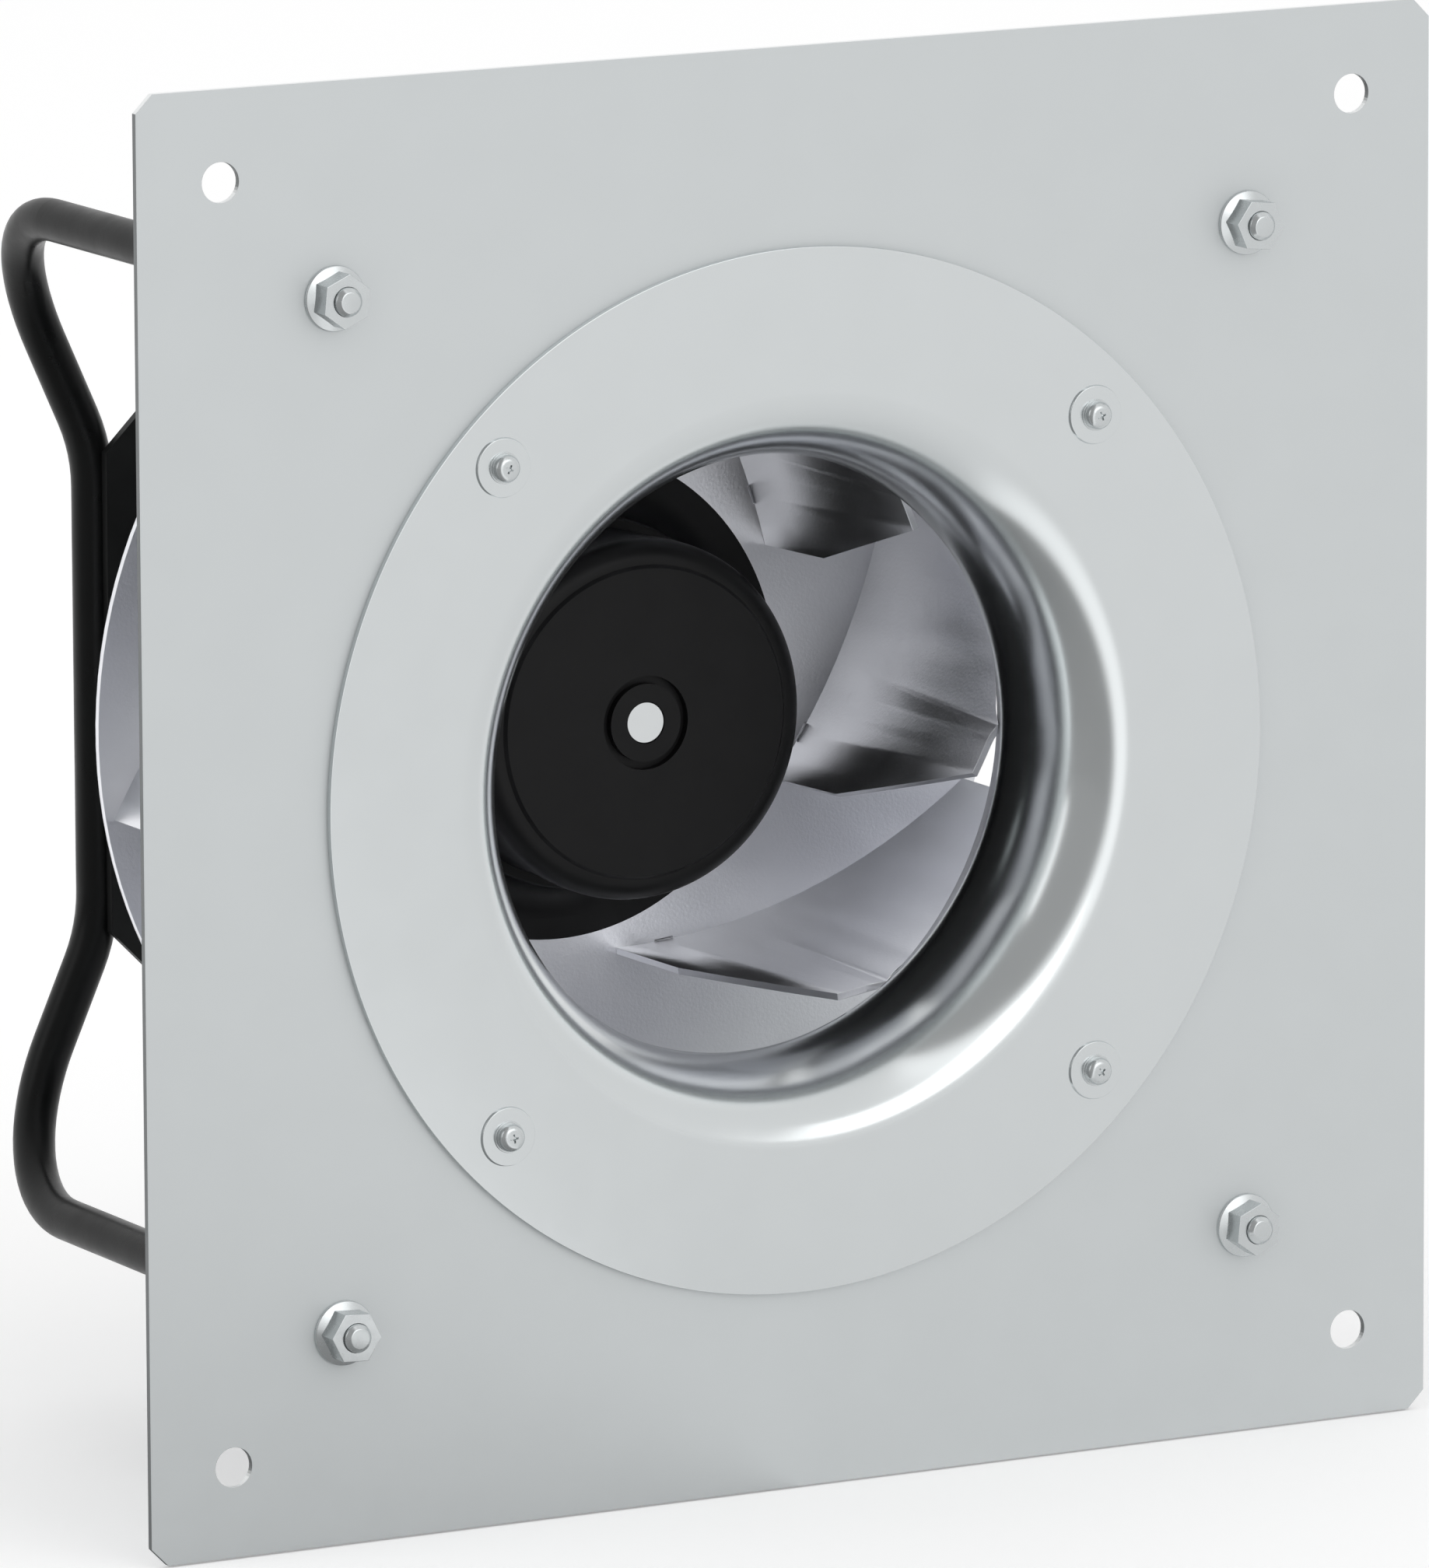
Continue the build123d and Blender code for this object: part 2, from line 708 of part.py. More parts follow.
with BuildPart() as one_blade:
    with BuildSketch(facing(back_disc_front)):
        with BuildLine():
            inner_side = CenterArc(arc_centre, blade_arc_radius, foot_start, foot_sweep)
            outer_side = CenterArc(arc_centre, blade_arc_radius + sheet, foot_start, foot_sweep)
            Line(inner_side @ 0, outer_side @ 0)
            Line(inner_side @ 1, outer_side @ 1)
        make_face()
    extrude(amount=back_disc_front - shroud_bend_start)
    with BuildSketch(Plane.XY):
        with BuildLine():
            Polyline(
                (bend_centre[0] - edge_radius, shroud_bend_start),
                (rotor_radius, shroud_bend_start),
                (rotor_radius, back_disc_front),
                (wheel_radius, back_disc_front),
                (wheel_radius, edge_rim_depth),
                edge_bend_end,
            )
            CenterArc(bend_centre, edge_radius, 90 + shroud_slope, 90 - shroud_slope)
        make_face()
    revolve(axis=Axis.Y, mode=Mode.INTERSECT)
    with BuildSketch(corner_plane):
        with BuildLine():
            Polyline(
                (along(blade_inner_radius), back_disc_front),
                (along(blade_nose_radius), blade_nose_depth),
                (0, blade_front_depth),
                (shoulder, blade_shoulder_depth),
                (shoulder, shroud_inlet_start),
                (-cut_back, shroud_inlet_start),
                (-cut_back, back_disc_front),
                close=True,
            )
        make_face()
        fillet(vertices().sort_by_distance(front_corner)[0], blade_corner)
    extrude(amount=cut_reach, both=True, mode=Mode.SUBTRACT)

# backward curved sheet blades between the shroud and the back disc
with BuildPart() as blades:
    for index in range(blade_count):
        add(one_blade.part.rotate(Axis.Y, index * blade_pitch))
blades.part.label = "blades"
export_step(blades.part, "parts/blades.step")

# stator hub: bearing tube with a seat at each end and the flange behind the wheel
seat_radius = bearing_outside + bearing_fit
tube_back = bearing_end + 5
with BuildPart() as stator_hub:
    ring(bearing_tube_radius, 0, stator_start, tube_back)
    ring(housing_radius, 0, housing_front, housing_front + housing_flange)
    ring(bearing_outside - bearing_shoulder, 0, stator_start, tube_back, Mode.SUBTRACT)
    ring(seat_radius, 0, stator_start, front_bearing + bearing_width, Mode.SUBTRACT)
    ring(seat_radius, 0, rear_bearing, tube_back, Mode.SUBTRACT)
    rounds(
        flange_hole / 2,
        housing_front,
        housing_front + housing_flange,
        flange_hole_circle,
        flange_hole_count,
        90,
        Mode.SUBTRACT,
    )
stator_hub.part.label = "stator_hub"
export_step(stator_hub.part, "parts/stator_hub.step")

# laminated stator core with open slots
core_radius = magnet_inner - air_gap
core_bore = bearing_tube_radius + bearing_fit
slot_bottom = core_bore + tooth_root
slot_top = core_radius - tooth_tip
with BuildPart() as stator_core:
    with BuildSketch(facing(stator_start + stator_length)):
        Circle(core_radius)
        Circle(core_bore, mode=Mode.SUBTRACT)
        with PolarLocations(0, slot_count):
            Polygon(
                (slot_bottom, -slot_root_width / 2),
                (slot_top, -slot_mouth_width / 2),
                (slot_top, slot_mouth_width / 2),
                (slot_bottom, slot_root_width / 2),
                align=None,
                mode=Mode.SUBTRACT,
            )
        with PolarLocations(core_radius - 1, slot_count):
            Rectangle(tooth_tip + 1.3, slot_opening, mode=Mode.SUBTRACT)
    extrude(amount=stator_length)
stator_core.part.label = "stator_core"
export_step(stator_core.part, "parts/stator_core.step")

# one coil on every tooth
coil_start = slot_bottom + coil_clearance
coil_depth = slot_top - slot_bottom - 2 * coil_clearance
coil_middle = stator_start + stator_length / 2
with BuildPart() as stator_coils:
    for index in range(slot_count):
        angle = radians((index + 0.5) * 360 / slot_count)
        tooth_plane = Plane(
            origin=(coil_start * cos(angle), coil_middle, coil_start * sin(angle)),
            x_dir=(0, 1, 0),
            z_dir=(cos(angle), 0, sin(angle)),
        )
        with BuildSketch(tooth_plane):
            RectangleRounded(stator_length + 2 * coil_overhang, coil_width, coil_corner)
            Rectangle(stator_length + 0.6, coil_bore, mode=Mode.SUBTRACT)
        extrude(amount=coil_depth)
stator_coils.part.label = "stator_coils"
export_step(stator_coils.part, "parts/stator_coils.step")

# outer rings of the two bearings, held in the stator hub
outer_lip = ball_circle + race_lip
ball_seat = ball_circle + ball_radius + 6 * ball_clearance
race_start = race_edge + race_slope
with BuildPart() as bearing_outer_rings:
    for near in (front_bearing, rear_bearing):
        far = near + bearing_width
        turn(
            [
                (outer_lip, near),
                (bearing_outside, near),
                (bearing_outside, far),
                (outer_lip, far),
                (outer_lip, far - race_edge),
                (ball_seat, far - race_start),
                (ball_seat, near + race_start),
                (outer_lip, near + race_edge),
            ]
        )
bearing_outer_rings.part.label = "bearing_outer_rings"
export_step(bearing_outer_rings.part, "parts/bearing_outer_rings.step")

# inner rings of the two bearings, on the shaft
inner_lip = ball_circle - race_lip
ball_track = ball_circle - ball_radius - ball_clearance
shaft_seat = shaft_radius + 0.03
with BuildPart() as bearing_inner_rings:
    for near in (front_bearing, rear_bearing):
        far = near + bearing_width
        turn(
            [
                (shaft_seat, near),
                (inner_lip, near),
                (inner_lip, near + race_edge),
                (ball_track, near + race_start),
                (ball_track, far - race_start),
                (inner_lip, far - race_edge),
                (inner_lip, far),
                (shaft_seat, far),
            ]
        )
bearing_inner_rings.part.label = "bearing_inner_rings"
export_step(bearing_inner_rings.part, "parts/bearing_inner_rings.step")

# bearing balls
with BuildPart() as bearing_balls:
    for near in (front_bearing, rear_bearing):
        for index in range(ball_count):
            angle = radians(index * 360 / ball_count)
            spot = (ball_circle * cos(angle), near + bearing_width / 2, ball_circle * sin(angle))
            with Locations(spot):
                Sphere(ball_radius)
bearing_balls.part.label = "bearing_balls"
export_step(bearing_balls.part, "parts/bearing_balls.step")

# electronics housing with cooling fins, screw bosses and board posts
housing_back = motor_plate_front
housing_start = housing_front + housing_flange
housing_floor = housing_back - housing_back_wall
board_back = board_depth + board_thickness
boss_start = housing_back - boss_length
with BuildPart() as electronics_housing:
    ring(housing_radius, 0, housing_start, housing_back)
    ring(housing_radius - housing_wall, 0, housing_start, housing_floor, Mode.SUBTRACT)
    with BuildSketch(facing(housing_back - fin_back_margin)):
        with PolarLocations(housing_radius + fin_height / 2 - 0.5, fin_count):
            Rectangle(fin_height + 1, fin_thickness)
    extrude(amount=housing_back - housing_start - fin_front_margin)
    rounds(boss_radius, boss_start, housing_back, motor_screw_circle, motor_screw_count, 45)
    rounds(
        motor_screw_thread / 2 + thread_clearance,
        boss_start + boss_floor,
        housing_back,
        motor_screw_circle,
        motor_screw_count,
        45,
        Mode.SUBTRACT,
    )
    rounds(post_radius, board_back, housing_floor, post_circle, post_count)
    ring(gland_thread + 0.1, 0, housing_floor, housing_back, Mode.SUBTRACT, (0, -gland_drop))
electronics_housing.part.label = "electronics_housing"
export_step(electronics_housing.part, "parts/electronics_housing.step")

# round circuit board on the posts
with BuildPart() as circuit_board:
    with BuildSketch(facing(board_back)):
        Circle(housing_radius - housing_wall - board_gap)
        Circle(board_hole / 2, mode=Mode.SUBTRACT)
        with PolarLocations(post_circle, post_count):
            Circle(board_screw_hole / 2, mode=Mode.SUBTRACT)
    extrude(amount=board_thickness)
circuit_board.part.label = "circuit_board"
export_step(circuit_board.part, "parts/circuit_board.step")

# capacitors, choke and power module on the board
with BuildPart() as board_parts:
    for x, z, radius in ((-26, 16, 6.5), (-18, 29, 5.0), (-30, -16, 5.0)):
        ring(radius, 0, board_back, board_back + capacitor_length, middle=(x, z))
    with BuildSketch(facing(board_back + module_height)):
        with Locations((22, 20)):
            Rectangle(14, 12)
        with Locations((22, -20)):
            Rectangle(12, 16)
    extrude(amount=module_height)
board_parts.part.label = "board_parts"
export_step(board_parts.part, "parts/board_parts.step")

# bolts and washers that hold the motor to its plate, from behind
washer_back = motor_plate_back + motor_washer_thickness
with BuildPart() as motor_washers:
    with BuildSketch(facing(washer_back)):
        with PolarLocations(motor_screw_circle, motor_screw_count, start_angle=45):
            Circle(motor_washer_diameter / 2)
            Circle(motor_screw_hole / 2, mode=Mode.SUBTRACT)
    extrude(amount=motor_washer_thickness)
motor_washers.part.label = "motor_washers"
export_step(motor_washers.part, "parts/motor_washers.step")

with BuildPart() as motor_bolts:
    with BuildSketch(facing(washer_back + motor_screw_head_height)):
        with PolarLocations(motor_screw_circle, motor_screw_count, start_angle=45):
            RegularPolygon(motor_screw_head / 2, 6, major_radius=False)
    extrude(amount=motor_screw_head_height)
    rounds(
        motor_screw_thread / 2,
        boss_start + 2 * boss_floor,
        washer_back,
        motor_screw_circle,
        motor_screw_count,
        45,
    )
motor_bolts.part.label = "motor_bolts"
export_step(motor_bolts.part, "parts/motor_bolts.step")

# cable gland body in the housing back, its dome nut and its rubber seal
gland_body_back = housing_back + gland_hex_height
gland_nut_back = gland_body_back + gland_nut_length
gland_lip_front = gland_nut_back - gland_nut_lip
gland_middle = (0, -gland_drop)
gland_place = Location((0, 0, -gland_drop))
with BuildPart() as gland_body:
    with BuildSketch(facing(gland_body_back)):
        with Locations(gland_middle):
            RegularPolygon(gland_hex / 2, 6, major_radius=False)
    extrude(amount=gland_hex_height)
    ring(gland_thread, 0, housing_back - gland_thread_length, housing_back, middle=gland_middle)
    ring(gland_bore, 0, housing_back - gland_thread_length, gland_body_back, Mode.SUBTRACT, gland_middle)
gland_body.part.label = "gland_body"
export_step(gland_body.part, "parts/gland_body.step")

with BuildPart() as gland_nut:
    turn(
        [
            (gland_nut_bore, gland_body_back),
            (gland_nut_radius, gland_body_back),
            (gland_nut_radius, gland_body_back + gland_nut_straight),
            (gland_nut_radius - 1.5, gland_lip_front),
            (gland_nut_radius - 3.5, gland_nut_back),
            (gland_nut_mouth, gland_nut_back),
            (gland_nut_mouth, gland_lip_front),
            (gland_nut_bore, gland_lip_front),
        ]
    )
gland_nut.part = gland_nut.part.moved(gland_place)
gland_nut.part.label = "gland_nut"
export_step(gland_nut.part, "parts/gland_nut.step")

with BuildPart() as gland_seal:
    turn(
        [
            (gland_bore, gland_body_back),
            (gland_nut_bore - 0.1, gland_body_back),
            (gland_nut_bore - 0.1, gland_lip_front - 0.1),
            (gland_nut_mouth - 0.1, gland_lip_front - 0.1),
            (gland_nut_mouth - 0.1, gland_nut_back - 0.4),
            (gland_bore, gland_nut_back - 0.8),
        ]
    )
gland_seal.part = gland_seal.part.moved(gland_place)
gland_seal.part.label = "gland_seal"
export_step(gland_seal.part, "parts/gland_seal.step")
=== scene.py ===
"""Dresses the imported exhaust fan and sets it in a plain, pale studio.

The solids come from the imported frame. This script gives every one of them its
real finish and builds, with mesh operators, the pieces whose fine form the
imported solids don't carry.
"""

import json
import logging
import math
from dataclasses import dataclass, field
from enum import Enum

import bmesh  # noqa: E402
import bpy  # noqa: E402
from mathutils import Matrix, Vector  # noqa: E402

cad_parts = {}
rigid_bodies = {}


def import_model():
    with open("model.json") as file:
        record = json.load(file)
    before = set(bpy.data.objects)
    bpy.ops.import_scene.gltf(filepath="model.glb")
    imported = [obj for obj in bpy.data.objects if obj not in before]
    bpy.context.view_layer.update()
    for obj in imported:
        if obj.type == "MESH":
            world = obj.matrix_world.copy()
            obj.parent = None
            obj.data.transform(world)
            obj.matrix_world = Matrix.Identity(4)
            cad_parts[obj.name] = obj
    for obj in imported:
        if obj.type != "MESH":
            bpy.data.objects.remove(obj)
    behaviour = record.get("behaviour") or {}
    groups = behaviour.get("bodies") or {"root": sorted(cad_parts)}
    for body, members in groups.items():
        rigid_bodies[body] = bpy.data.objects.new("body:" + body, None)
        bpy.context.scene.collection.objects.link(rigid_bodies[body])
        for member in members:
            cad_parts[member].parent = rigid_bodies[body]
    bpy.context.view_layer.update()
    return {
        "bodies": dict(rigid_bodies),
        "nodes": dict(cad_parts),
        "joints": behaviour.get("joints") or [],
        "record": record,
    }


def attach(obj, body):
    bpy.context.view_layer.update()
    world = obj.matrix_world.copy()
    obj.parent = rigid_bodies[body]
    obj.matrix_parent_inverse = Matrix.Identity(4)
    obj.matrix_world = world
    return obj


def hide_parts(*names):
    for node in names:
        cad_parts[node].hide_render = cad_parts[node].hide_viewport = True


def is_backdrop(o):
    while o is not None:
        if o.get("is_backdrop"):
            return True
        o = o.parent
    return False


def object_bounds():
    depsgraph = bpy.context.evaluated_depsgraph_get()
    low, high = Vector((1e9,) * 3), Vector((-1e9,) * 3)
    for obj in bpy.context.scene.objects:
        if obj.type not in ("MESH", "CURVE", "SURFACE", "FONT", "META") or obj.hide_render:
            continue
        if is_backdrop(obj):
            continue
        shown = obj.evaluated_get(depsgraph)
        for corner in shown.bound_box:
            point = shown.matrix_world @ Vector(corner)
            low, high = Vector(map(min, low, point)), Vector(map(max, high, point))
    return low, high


LOG = logging.getLogger("exhaust_fan")
MM = 0.001
TURN = 2 * math.pi
FAN_AXIS = Vector((0, 1, 0))


def linear(hex_colour: str) -> tuple[float, float, float, float]:
    """Turn an sRGB hex colour into the linear colour that a shader takes.

    Args:
        hex_colour: Six hex digits, with or without a leading hash.

    Returns:
        Red, green, blue and an alpha of 1, all linear.
    """
    digits = hex_colour.lstrip("#")
    channels = [int(digits[i : i + 2], 16) / 255 for i in (0, 2, 4)]
    opened = [c / 12.92 if c <= 0.04045 else ((c + 0.055) / 1.055) ** 2.4 for c in channels]
    return (*opened, 1.0)


def put(tree: bpy.types.NodeTree, kind: str, settings: dict | None = None, links: dict | None = None) -> bpy.types.Node:
    """Add one node with its settings and its incoming links.

    Args:
        tree: The node tree that gets the node.
        kind: The node's type name.
        settings: Properties of the node by name, or values of its inputs by name or number.
        links: Output sockets by the name or number of the input that each one feeds.

    Returns:
        The new node.
    """
    node = tree.nodes.new(kind)
    for name, value in (settings or {}).items():
        if isinstance(name, str) and hasattr(node, name):
            setattr(node, name, value)
        else:
            node.inputs[name].default_value = value
    for name, socket in (links or {}).items():
        tree.links.new(socket, node.inputs[name])
    return node


@dataclass(frozen=True)
class Finish:
    """What every finish has: its name, colour and gloss, and a grain in the surface.

    Args:
        name: Common name of the material and how its surface was made.
        colour: sRGB hex value of the surface.
        metallic: 1 for bare metal and 0 for paint, plastic and rubber.
        roughness: Roughness of the surface between its grains.
        ior: Index of refraction, left at the default for a metal.
        specular: How strongly the surface mirrors, 0.5 for the full strength of its IOR.
        grain: Size of the surface grain in millimetres.
        relief: How far the grain stands up, in millimetres.
        mottle: Size in millimetres of the slow change of tone over the surface.
        tone: Share by which the slow change darkens the colour.
        gloss_change: How much the roughness varies with the slow change.
    """

    name: str
    colour: str
    metallic: float = 0.0
    roughness: float = 0.5
    ior: float = 1.5
    specular: float = 0.5
    grain: float = 0.8
    relief: float = 0.02
    mottle: float = 30.0
    tone: float = 0.04
    gloss_change: float = 0.06

    def height(self, tree: bpy.types.NodeTree, place: bpy.types.NodeSocket) -> bpy.types.NodeSocket:
        """Draw the surface's relief, from 0 to 1.

        Args:
            tree: The material's node tree.
            place: Object coordinates in metres.

        Returns:
            The socket that carries the relief.
        """
        noise = put(
            tree,
            "ShaderNodeTexNoise",
            {"Scale": 1 / (self.grain * MM), "Detail": 2.0, "Roughness": 0.55},
            {"Vector": place},
        )
        return noise.outputs["Fac"]

    def tint(self, tree: bpy.types.NodeTree, place: bpy.types.NodeSocket) -> bpy.types.NodeSocket:
        """Draw the colour with its slow change of tone.

        Args:
            tree: The material's node tree.
            place: Object coordinates in metres.

        Returns:
            The socket that carries the colour.
        """
        patches = put(
            tree,
            "ShaderNodeTexNoise",
            {"Scale": 1 / (self.mottle * MM), "Detail": 4.0, "Roughness": 0.6},
            {"Vector": place},
        )
        full = linear(self.colour)
        dull = (*(c * (1 - self.tone) for c in full[:3]), 1.0)
        ramp = put(tree, "ShaderNodeValToRGB", {}, {"Fac": patches.outputs["Fac"]})
        ramp.color_ramp.elements[0].position = 0.3
        ramp.color_ramp.elements[0].color = dull
        ramp.color_ramp.elements[1].position = 0.7
        ramp.color_ramp.elements[1].color = full
        return ramp.outputs["Color"]

    def gloss(self, tree: bpy.types.NodeTree, place: bpy.types.NodeSocket) -> bpy.types.NodeSocket:
        """Draw the roughness with its slow change.

        Args:
            tree: The material's node tree.
            place: Object coordinates in metres.

        Returns:
            The socket that carries the roughness.
        """
        patches = put(
            tree,
            "ShaderNodeTexNoise",
            {"Scale": 2 / (self.mottle * MM), "Detail": 3.0},
            {"Vector": place},
        )
        spread = put(
            tree,
            "ShaderNodeMapRange",
            {
                "From Min": 0.3,
                "From Max": 0.7,
                "To Min": max(self.roughness - self.gloss_change, 0.02),
                "To Max": min(self.roughness + self.gloss_change, 1.0),
            },
            {"Value": patches.outputs["Fac"]},
        )
        return spread.outputs["Result"]

    def make(self) -> bpy.types.Material:
        """Build the finish as a node material.

        Returns:
            The material.
        """
        material = bpy.data.materials.new(self.name)
        material.use_nodes = True
        tree = material.node_tree
        tree.nodes.clear()
        place = put(tree, "ShaderNodeTexCoord").outputs["Object"]
        bump = put(
            tree,
            "ShaderNodeBump",
            {"Strength": 1.0, "Distance": self.relief * MM},
            {"Height": self.height(tree, place)},
        )
        shader = put(
            tree,
            "ShaderNodeBsdfPrincipled",
            {"Metallic": self.metallic, "IOR": self.ior, "Specular IOR Level": self.specular},
            {
                "Base Color": self.tint(tree, place),
                "Roughness": self.gloss(tree, place),
                "Normal": bump.outputs["Normal"],
            },
        )
        put(tree, "ShaderNodeOutputMaterial", {}, {"Surface": shader.outputs["BSDF"]})
        return material


@dataclass(frozen=True)
class CutSheet(Finish):
    """Coated sheet whose laser-cut edges show the darker, bare steel, and whose upward-looking edges carry a painted
    highlight.

    Args:
        edge_colour: sRGB hex value of the cut edges that look sideways and down.
        painted_highlight_edge_colour: sRGB hex value of those that look up, drawn near white as a painted highlight of
            the light from above.
        faces: The direction that the sheet's faces look in.
    """

    edge_colour: str = "76797A"
    # painted highlight: cut edges that look up are drawn near white, as if lit from above
    painted_highlight_edge_colour: str = "F0F2F2"
    faces: tuple[float, float, float] = (0.0, 1.0, 0.0)

    def tint(self, tree: bpy.types.NodeTree, place: bpy.types.NodeSocket) -> bpy.types.NodeSocket:
        """Draw the coat's colour on the faces and the bare steel on the cut edges, with a painted highlight on those
        that look up.

        Args:
            tree: The material's node tree.
            place: Object coordinates in metres.

        Returns:
            The socket that carries the colour.
        """
        coat = super().tint(tree, place)
        shape = put(tree, "ShaderNodeNewGeometry")
        square = put(
            tree,
            "ShaderNodeVectorMath",
            {"operation": "DOT_PRODUCT", 1: self.faces},
            {0: shape.outputs["True Normal"]},
        )
        flat = put(tree, "ShaderNodeMath", {"operation": "ABSOLUTE"}, {0: square.outputs["Value"]})
        face = put(
            tree,
            "ShaderNodeMapRange",
            {"From Min": 0.35, "From Max": 0.75},
            {"Value": flat.outputs[0]},
        )
        # painted highlight: the more a cut edge's normal points up, the more of the highlight colour it takes
        parts = put(tree, "ShaderNodeSeparateXYZ", {}, {0: shape.outputs["True Normal"]})
        painted_highlight_share = put(
            tree,
            "ShaderNodeMapRange",
            {"From Min": 0.2, "From Max": 0.6},
            {"Value": parts.outputs["Z"]},
        )
        # bare steel on edges that look sideways and down, blending into the painted highlight on those that look up
        edges = put(
            tree,
            "ShaderNodeMix",
            {"data_type": "RGBA", 6: linear(self.edge_colour), 7: linear(self.painted_highlight_edge_colour)},
            {0: painted_highlight_share.outputs["Result"]},
        )
        both = put(
            tree,
            "ShaderNodeMix",
            {"data_type": "RGBA"},
            {0: face.outputs["Result"], 6: edges.outputs[2], 7: coat},
        )
        return both.outputs[2]


@dataclass(frozen=True)
class LeatherSheet(Finish):
    """Aluminium sheet rolled with a fine leather grain.

    Args:
        cell: Width of one cell of the grain in millimetres.
        cell_share: How much of the relief the cells make, the rest being finer grit.
    """

    cell: float = 1.1
    cell_share: float = 0.4

    def height(self, tree: bpy.types.NodeTree, place: bpy.types.NodeSocket) -> bpy.types.NodeSocket:
        """Draw shallow cells with finer grit between them.

        Args:
            tree: The material's node tree.
            place: Object coordinates in metres.

        Returns:
            The socket that carries the relief.
        """
        grit = super().height(tree, place)
        cells = put(
            tree,
            "ShaderNodeTexVoronoi",
            {"feature": "SMOOTH_F1", "Scale": 1 / (self.cell * MM), "Smoothness": 0.4},
            {"Vector": place},
        )
        both = put(
            tree,
            "ShaderNodeMix",
            {"data_type": "FLOAT", 0: self.cell_share},
            {2: grit, 3: cells.outputs["Distance"]},
        )
        return both.outputs[0]


class Slot(Enum):
    """The record's material slots."""

    GALVANISED = "galvanised_sheet"
    ZINC = "zinc_steel"
    TUBE = "black_tube"
    PLATE = "black_plate"
    ROTOR = "rotor_black"
    MAGNET = "magnet_grey"
    GROUND = "ground_steel"
    WHEEL = "wheel_sheet"
    CASTING = "cast_aluminium"
    LAMINATIONS = "laminations"
    WIRE = "copper_wire"
    BOARD = "board_green"
    BOARD_PARTS = "board_black"
    GLAND = "gland_plastic"
    SEAL = "gland_rubber"


FINISHES: dict[Slot, Finish] = {
    # zinc coat on rolled sheet, skin-passed: an even pale grey, its spangle pressed out
    # the real grain is a tenth of a millimetre; it is drawn at 0.9 so that it shows at all
    # its cut edges that look up take CutSheet's painted highlight
    Slot.GALVANISED: CutSheet(
        "galvanised steel sheet, skin-passed and laser-cut",
        "D0D4D5",
        metallic=0.4,
        roughness=0.5,
        grain=0.9,
        relief=0.006,
        mottle=18.0,
        tone=0.02,
        gloss_change=0.03,
    ),
    # bright zinc plating: smooth, so that every facet takes one clear tone
    Slot.ZINC: Finish(
        "zinc-plated steel, cold-headed",
        "D2D6D7",
        metallic=1.0,
        roughness=0.26,
        grain=0.6,
        relief=0.002,
        mottle=6.0,
        tone=0.02,
        gloss_change=0.03,
    ),
    # powder coat baked on bent tube: satin black with a faint orange peel
    Slot.TUBE: Finish(
        "steel tube, powder-coated satin black",
        "0D0E0E",
        roughness=0.32,
        specular=0.17,
        grain=2.2,
        relief=0.02,
        mottle=20.0,
        tone=0.1,
    ),
    # the same coat on flat plate lies smoother and looks flatter
    Slot.PLATE: Finish(
        "steel plate, powder-coated black",
        "121313",
        roughness=0.48,
        specular=0.25,
        grain=2.2,
        relief=0.02,
        mottle=25.0,
        tone=0.1,
    ),
    # dip coat baked on the deep-drawn cup: matte, with hardly a highlight
    Slot.ROTOR: Finish(
        "steel cup, dip-coated matte black",
        "151516",
        roughness=0.42,
        specular=0.18,
        grain=1.2,
        relief=0.008,
        mottle=25.0,
        tone=0.06,
    ),
    # pressed and fired powder: dull, close-grained grey
    Slot.MAGNET: Finish("ferrite, sintered and ground", "4A4A4C", roughness=0.6, grain=0.5, relief=0.01),
    # ground and lapped steel: the brightest, cleanest metal of the fan
    Slot.GROUND: Finish(
        "bearing steel, ground",
        "E2E5E6",
        metallic=1.0,
        roughness=0.22,
        grain=0.3,
        relief=0.001,
        mottle=5.0,
        tone=0.02,
        gloss_change=0.02,
    ),
    # leather-grained aluminium: bluish, bright towards the light, speckled where it turns dark
    Slot.WHEEL: LeatherSheet(
        "aluminium sheet, rolled with a leather grain",
        "F1F2F6",
        metallic=1.0,
        roughness=0.36,
        grain=0.6,
        relief=0.05,
        mottle=24.0,
        tone=0.03,
        gloss_change=0.02,
    ),
    # blasted die casting: soft grey with a fine, pitted skin
    Slot.CASTING: Finish(
        "aluminium, die-cast and blasted",
        "B4B6B8",
        metallic=1.0,
        roughness=0.5,
        grain=0.6,
        relief=0.03,
        mottle=14.0,
        tone=0.08,
    ),
    # punched sheets in a stack: dark, slightly blue steel
    Slot.LAMINATIONS: Finish(
        "electrical steel, punched and stacked",
        "5D5E61",
        metallic=1.0,
        roughness=0.5,
        grain=0.5,
        relief=0.02,
    ),
    # enamelled wire: the copper shows warm through its varnish
    Slot.WIRE: Finish("copper wire, enamelled and wound", "9C5A2E", metallic=0.6, roughness=0.35, grain=0.7, relief=0.1),
    # solder mask over glass cloth: glossy green
    Slot.BOARD: Finish("glass epoxy board, solder-masked", "1F5A38", roughness=0.35, grain=0.6, relief=0.01),
    # filled epoxy cases: near-black, dull
    Slot.BOARD_PARTS: Finish("epoxy, moulded round the parts", "202022", grain=0.5, relief=0.01),
    # moulded polyamide: black with a fine spark-eroded texture
    Slot.GLAND: Finish("polyamide, moulded", "191A1A", roughness=0.45, specular=0.35, grain=0.5, relief=0.015),
    # moulded rubber: the deepest black, no gloss
    Slot.SEAL: Finish("nitrile rubber, moulded", "121212", roughness=0.75, specular=0.2, grain=0.4, relief=0.01),
}

# the nozzle's zinc is drawn and rubbed by the spinning roller, so it mirrors more clearly than the plate
NOZZLE_FINISH = Finish(
    "galvanised steel sheet, metal-spun",
    "DDE1E2",
    metallic=1.0,
    roughness=0.18,
    grain=0.5,
    relief=0.004,
    mottle=30.0,
    tone=0.015,
    gloss_change=0.015,
)


@dataclass(frozen=True)
class Corner:
    """One corner of a turned profile: its radius, its depth along Y, and how much it is rounded, in mm."""

    radius: float
    depth: float
    round: float = 0.0


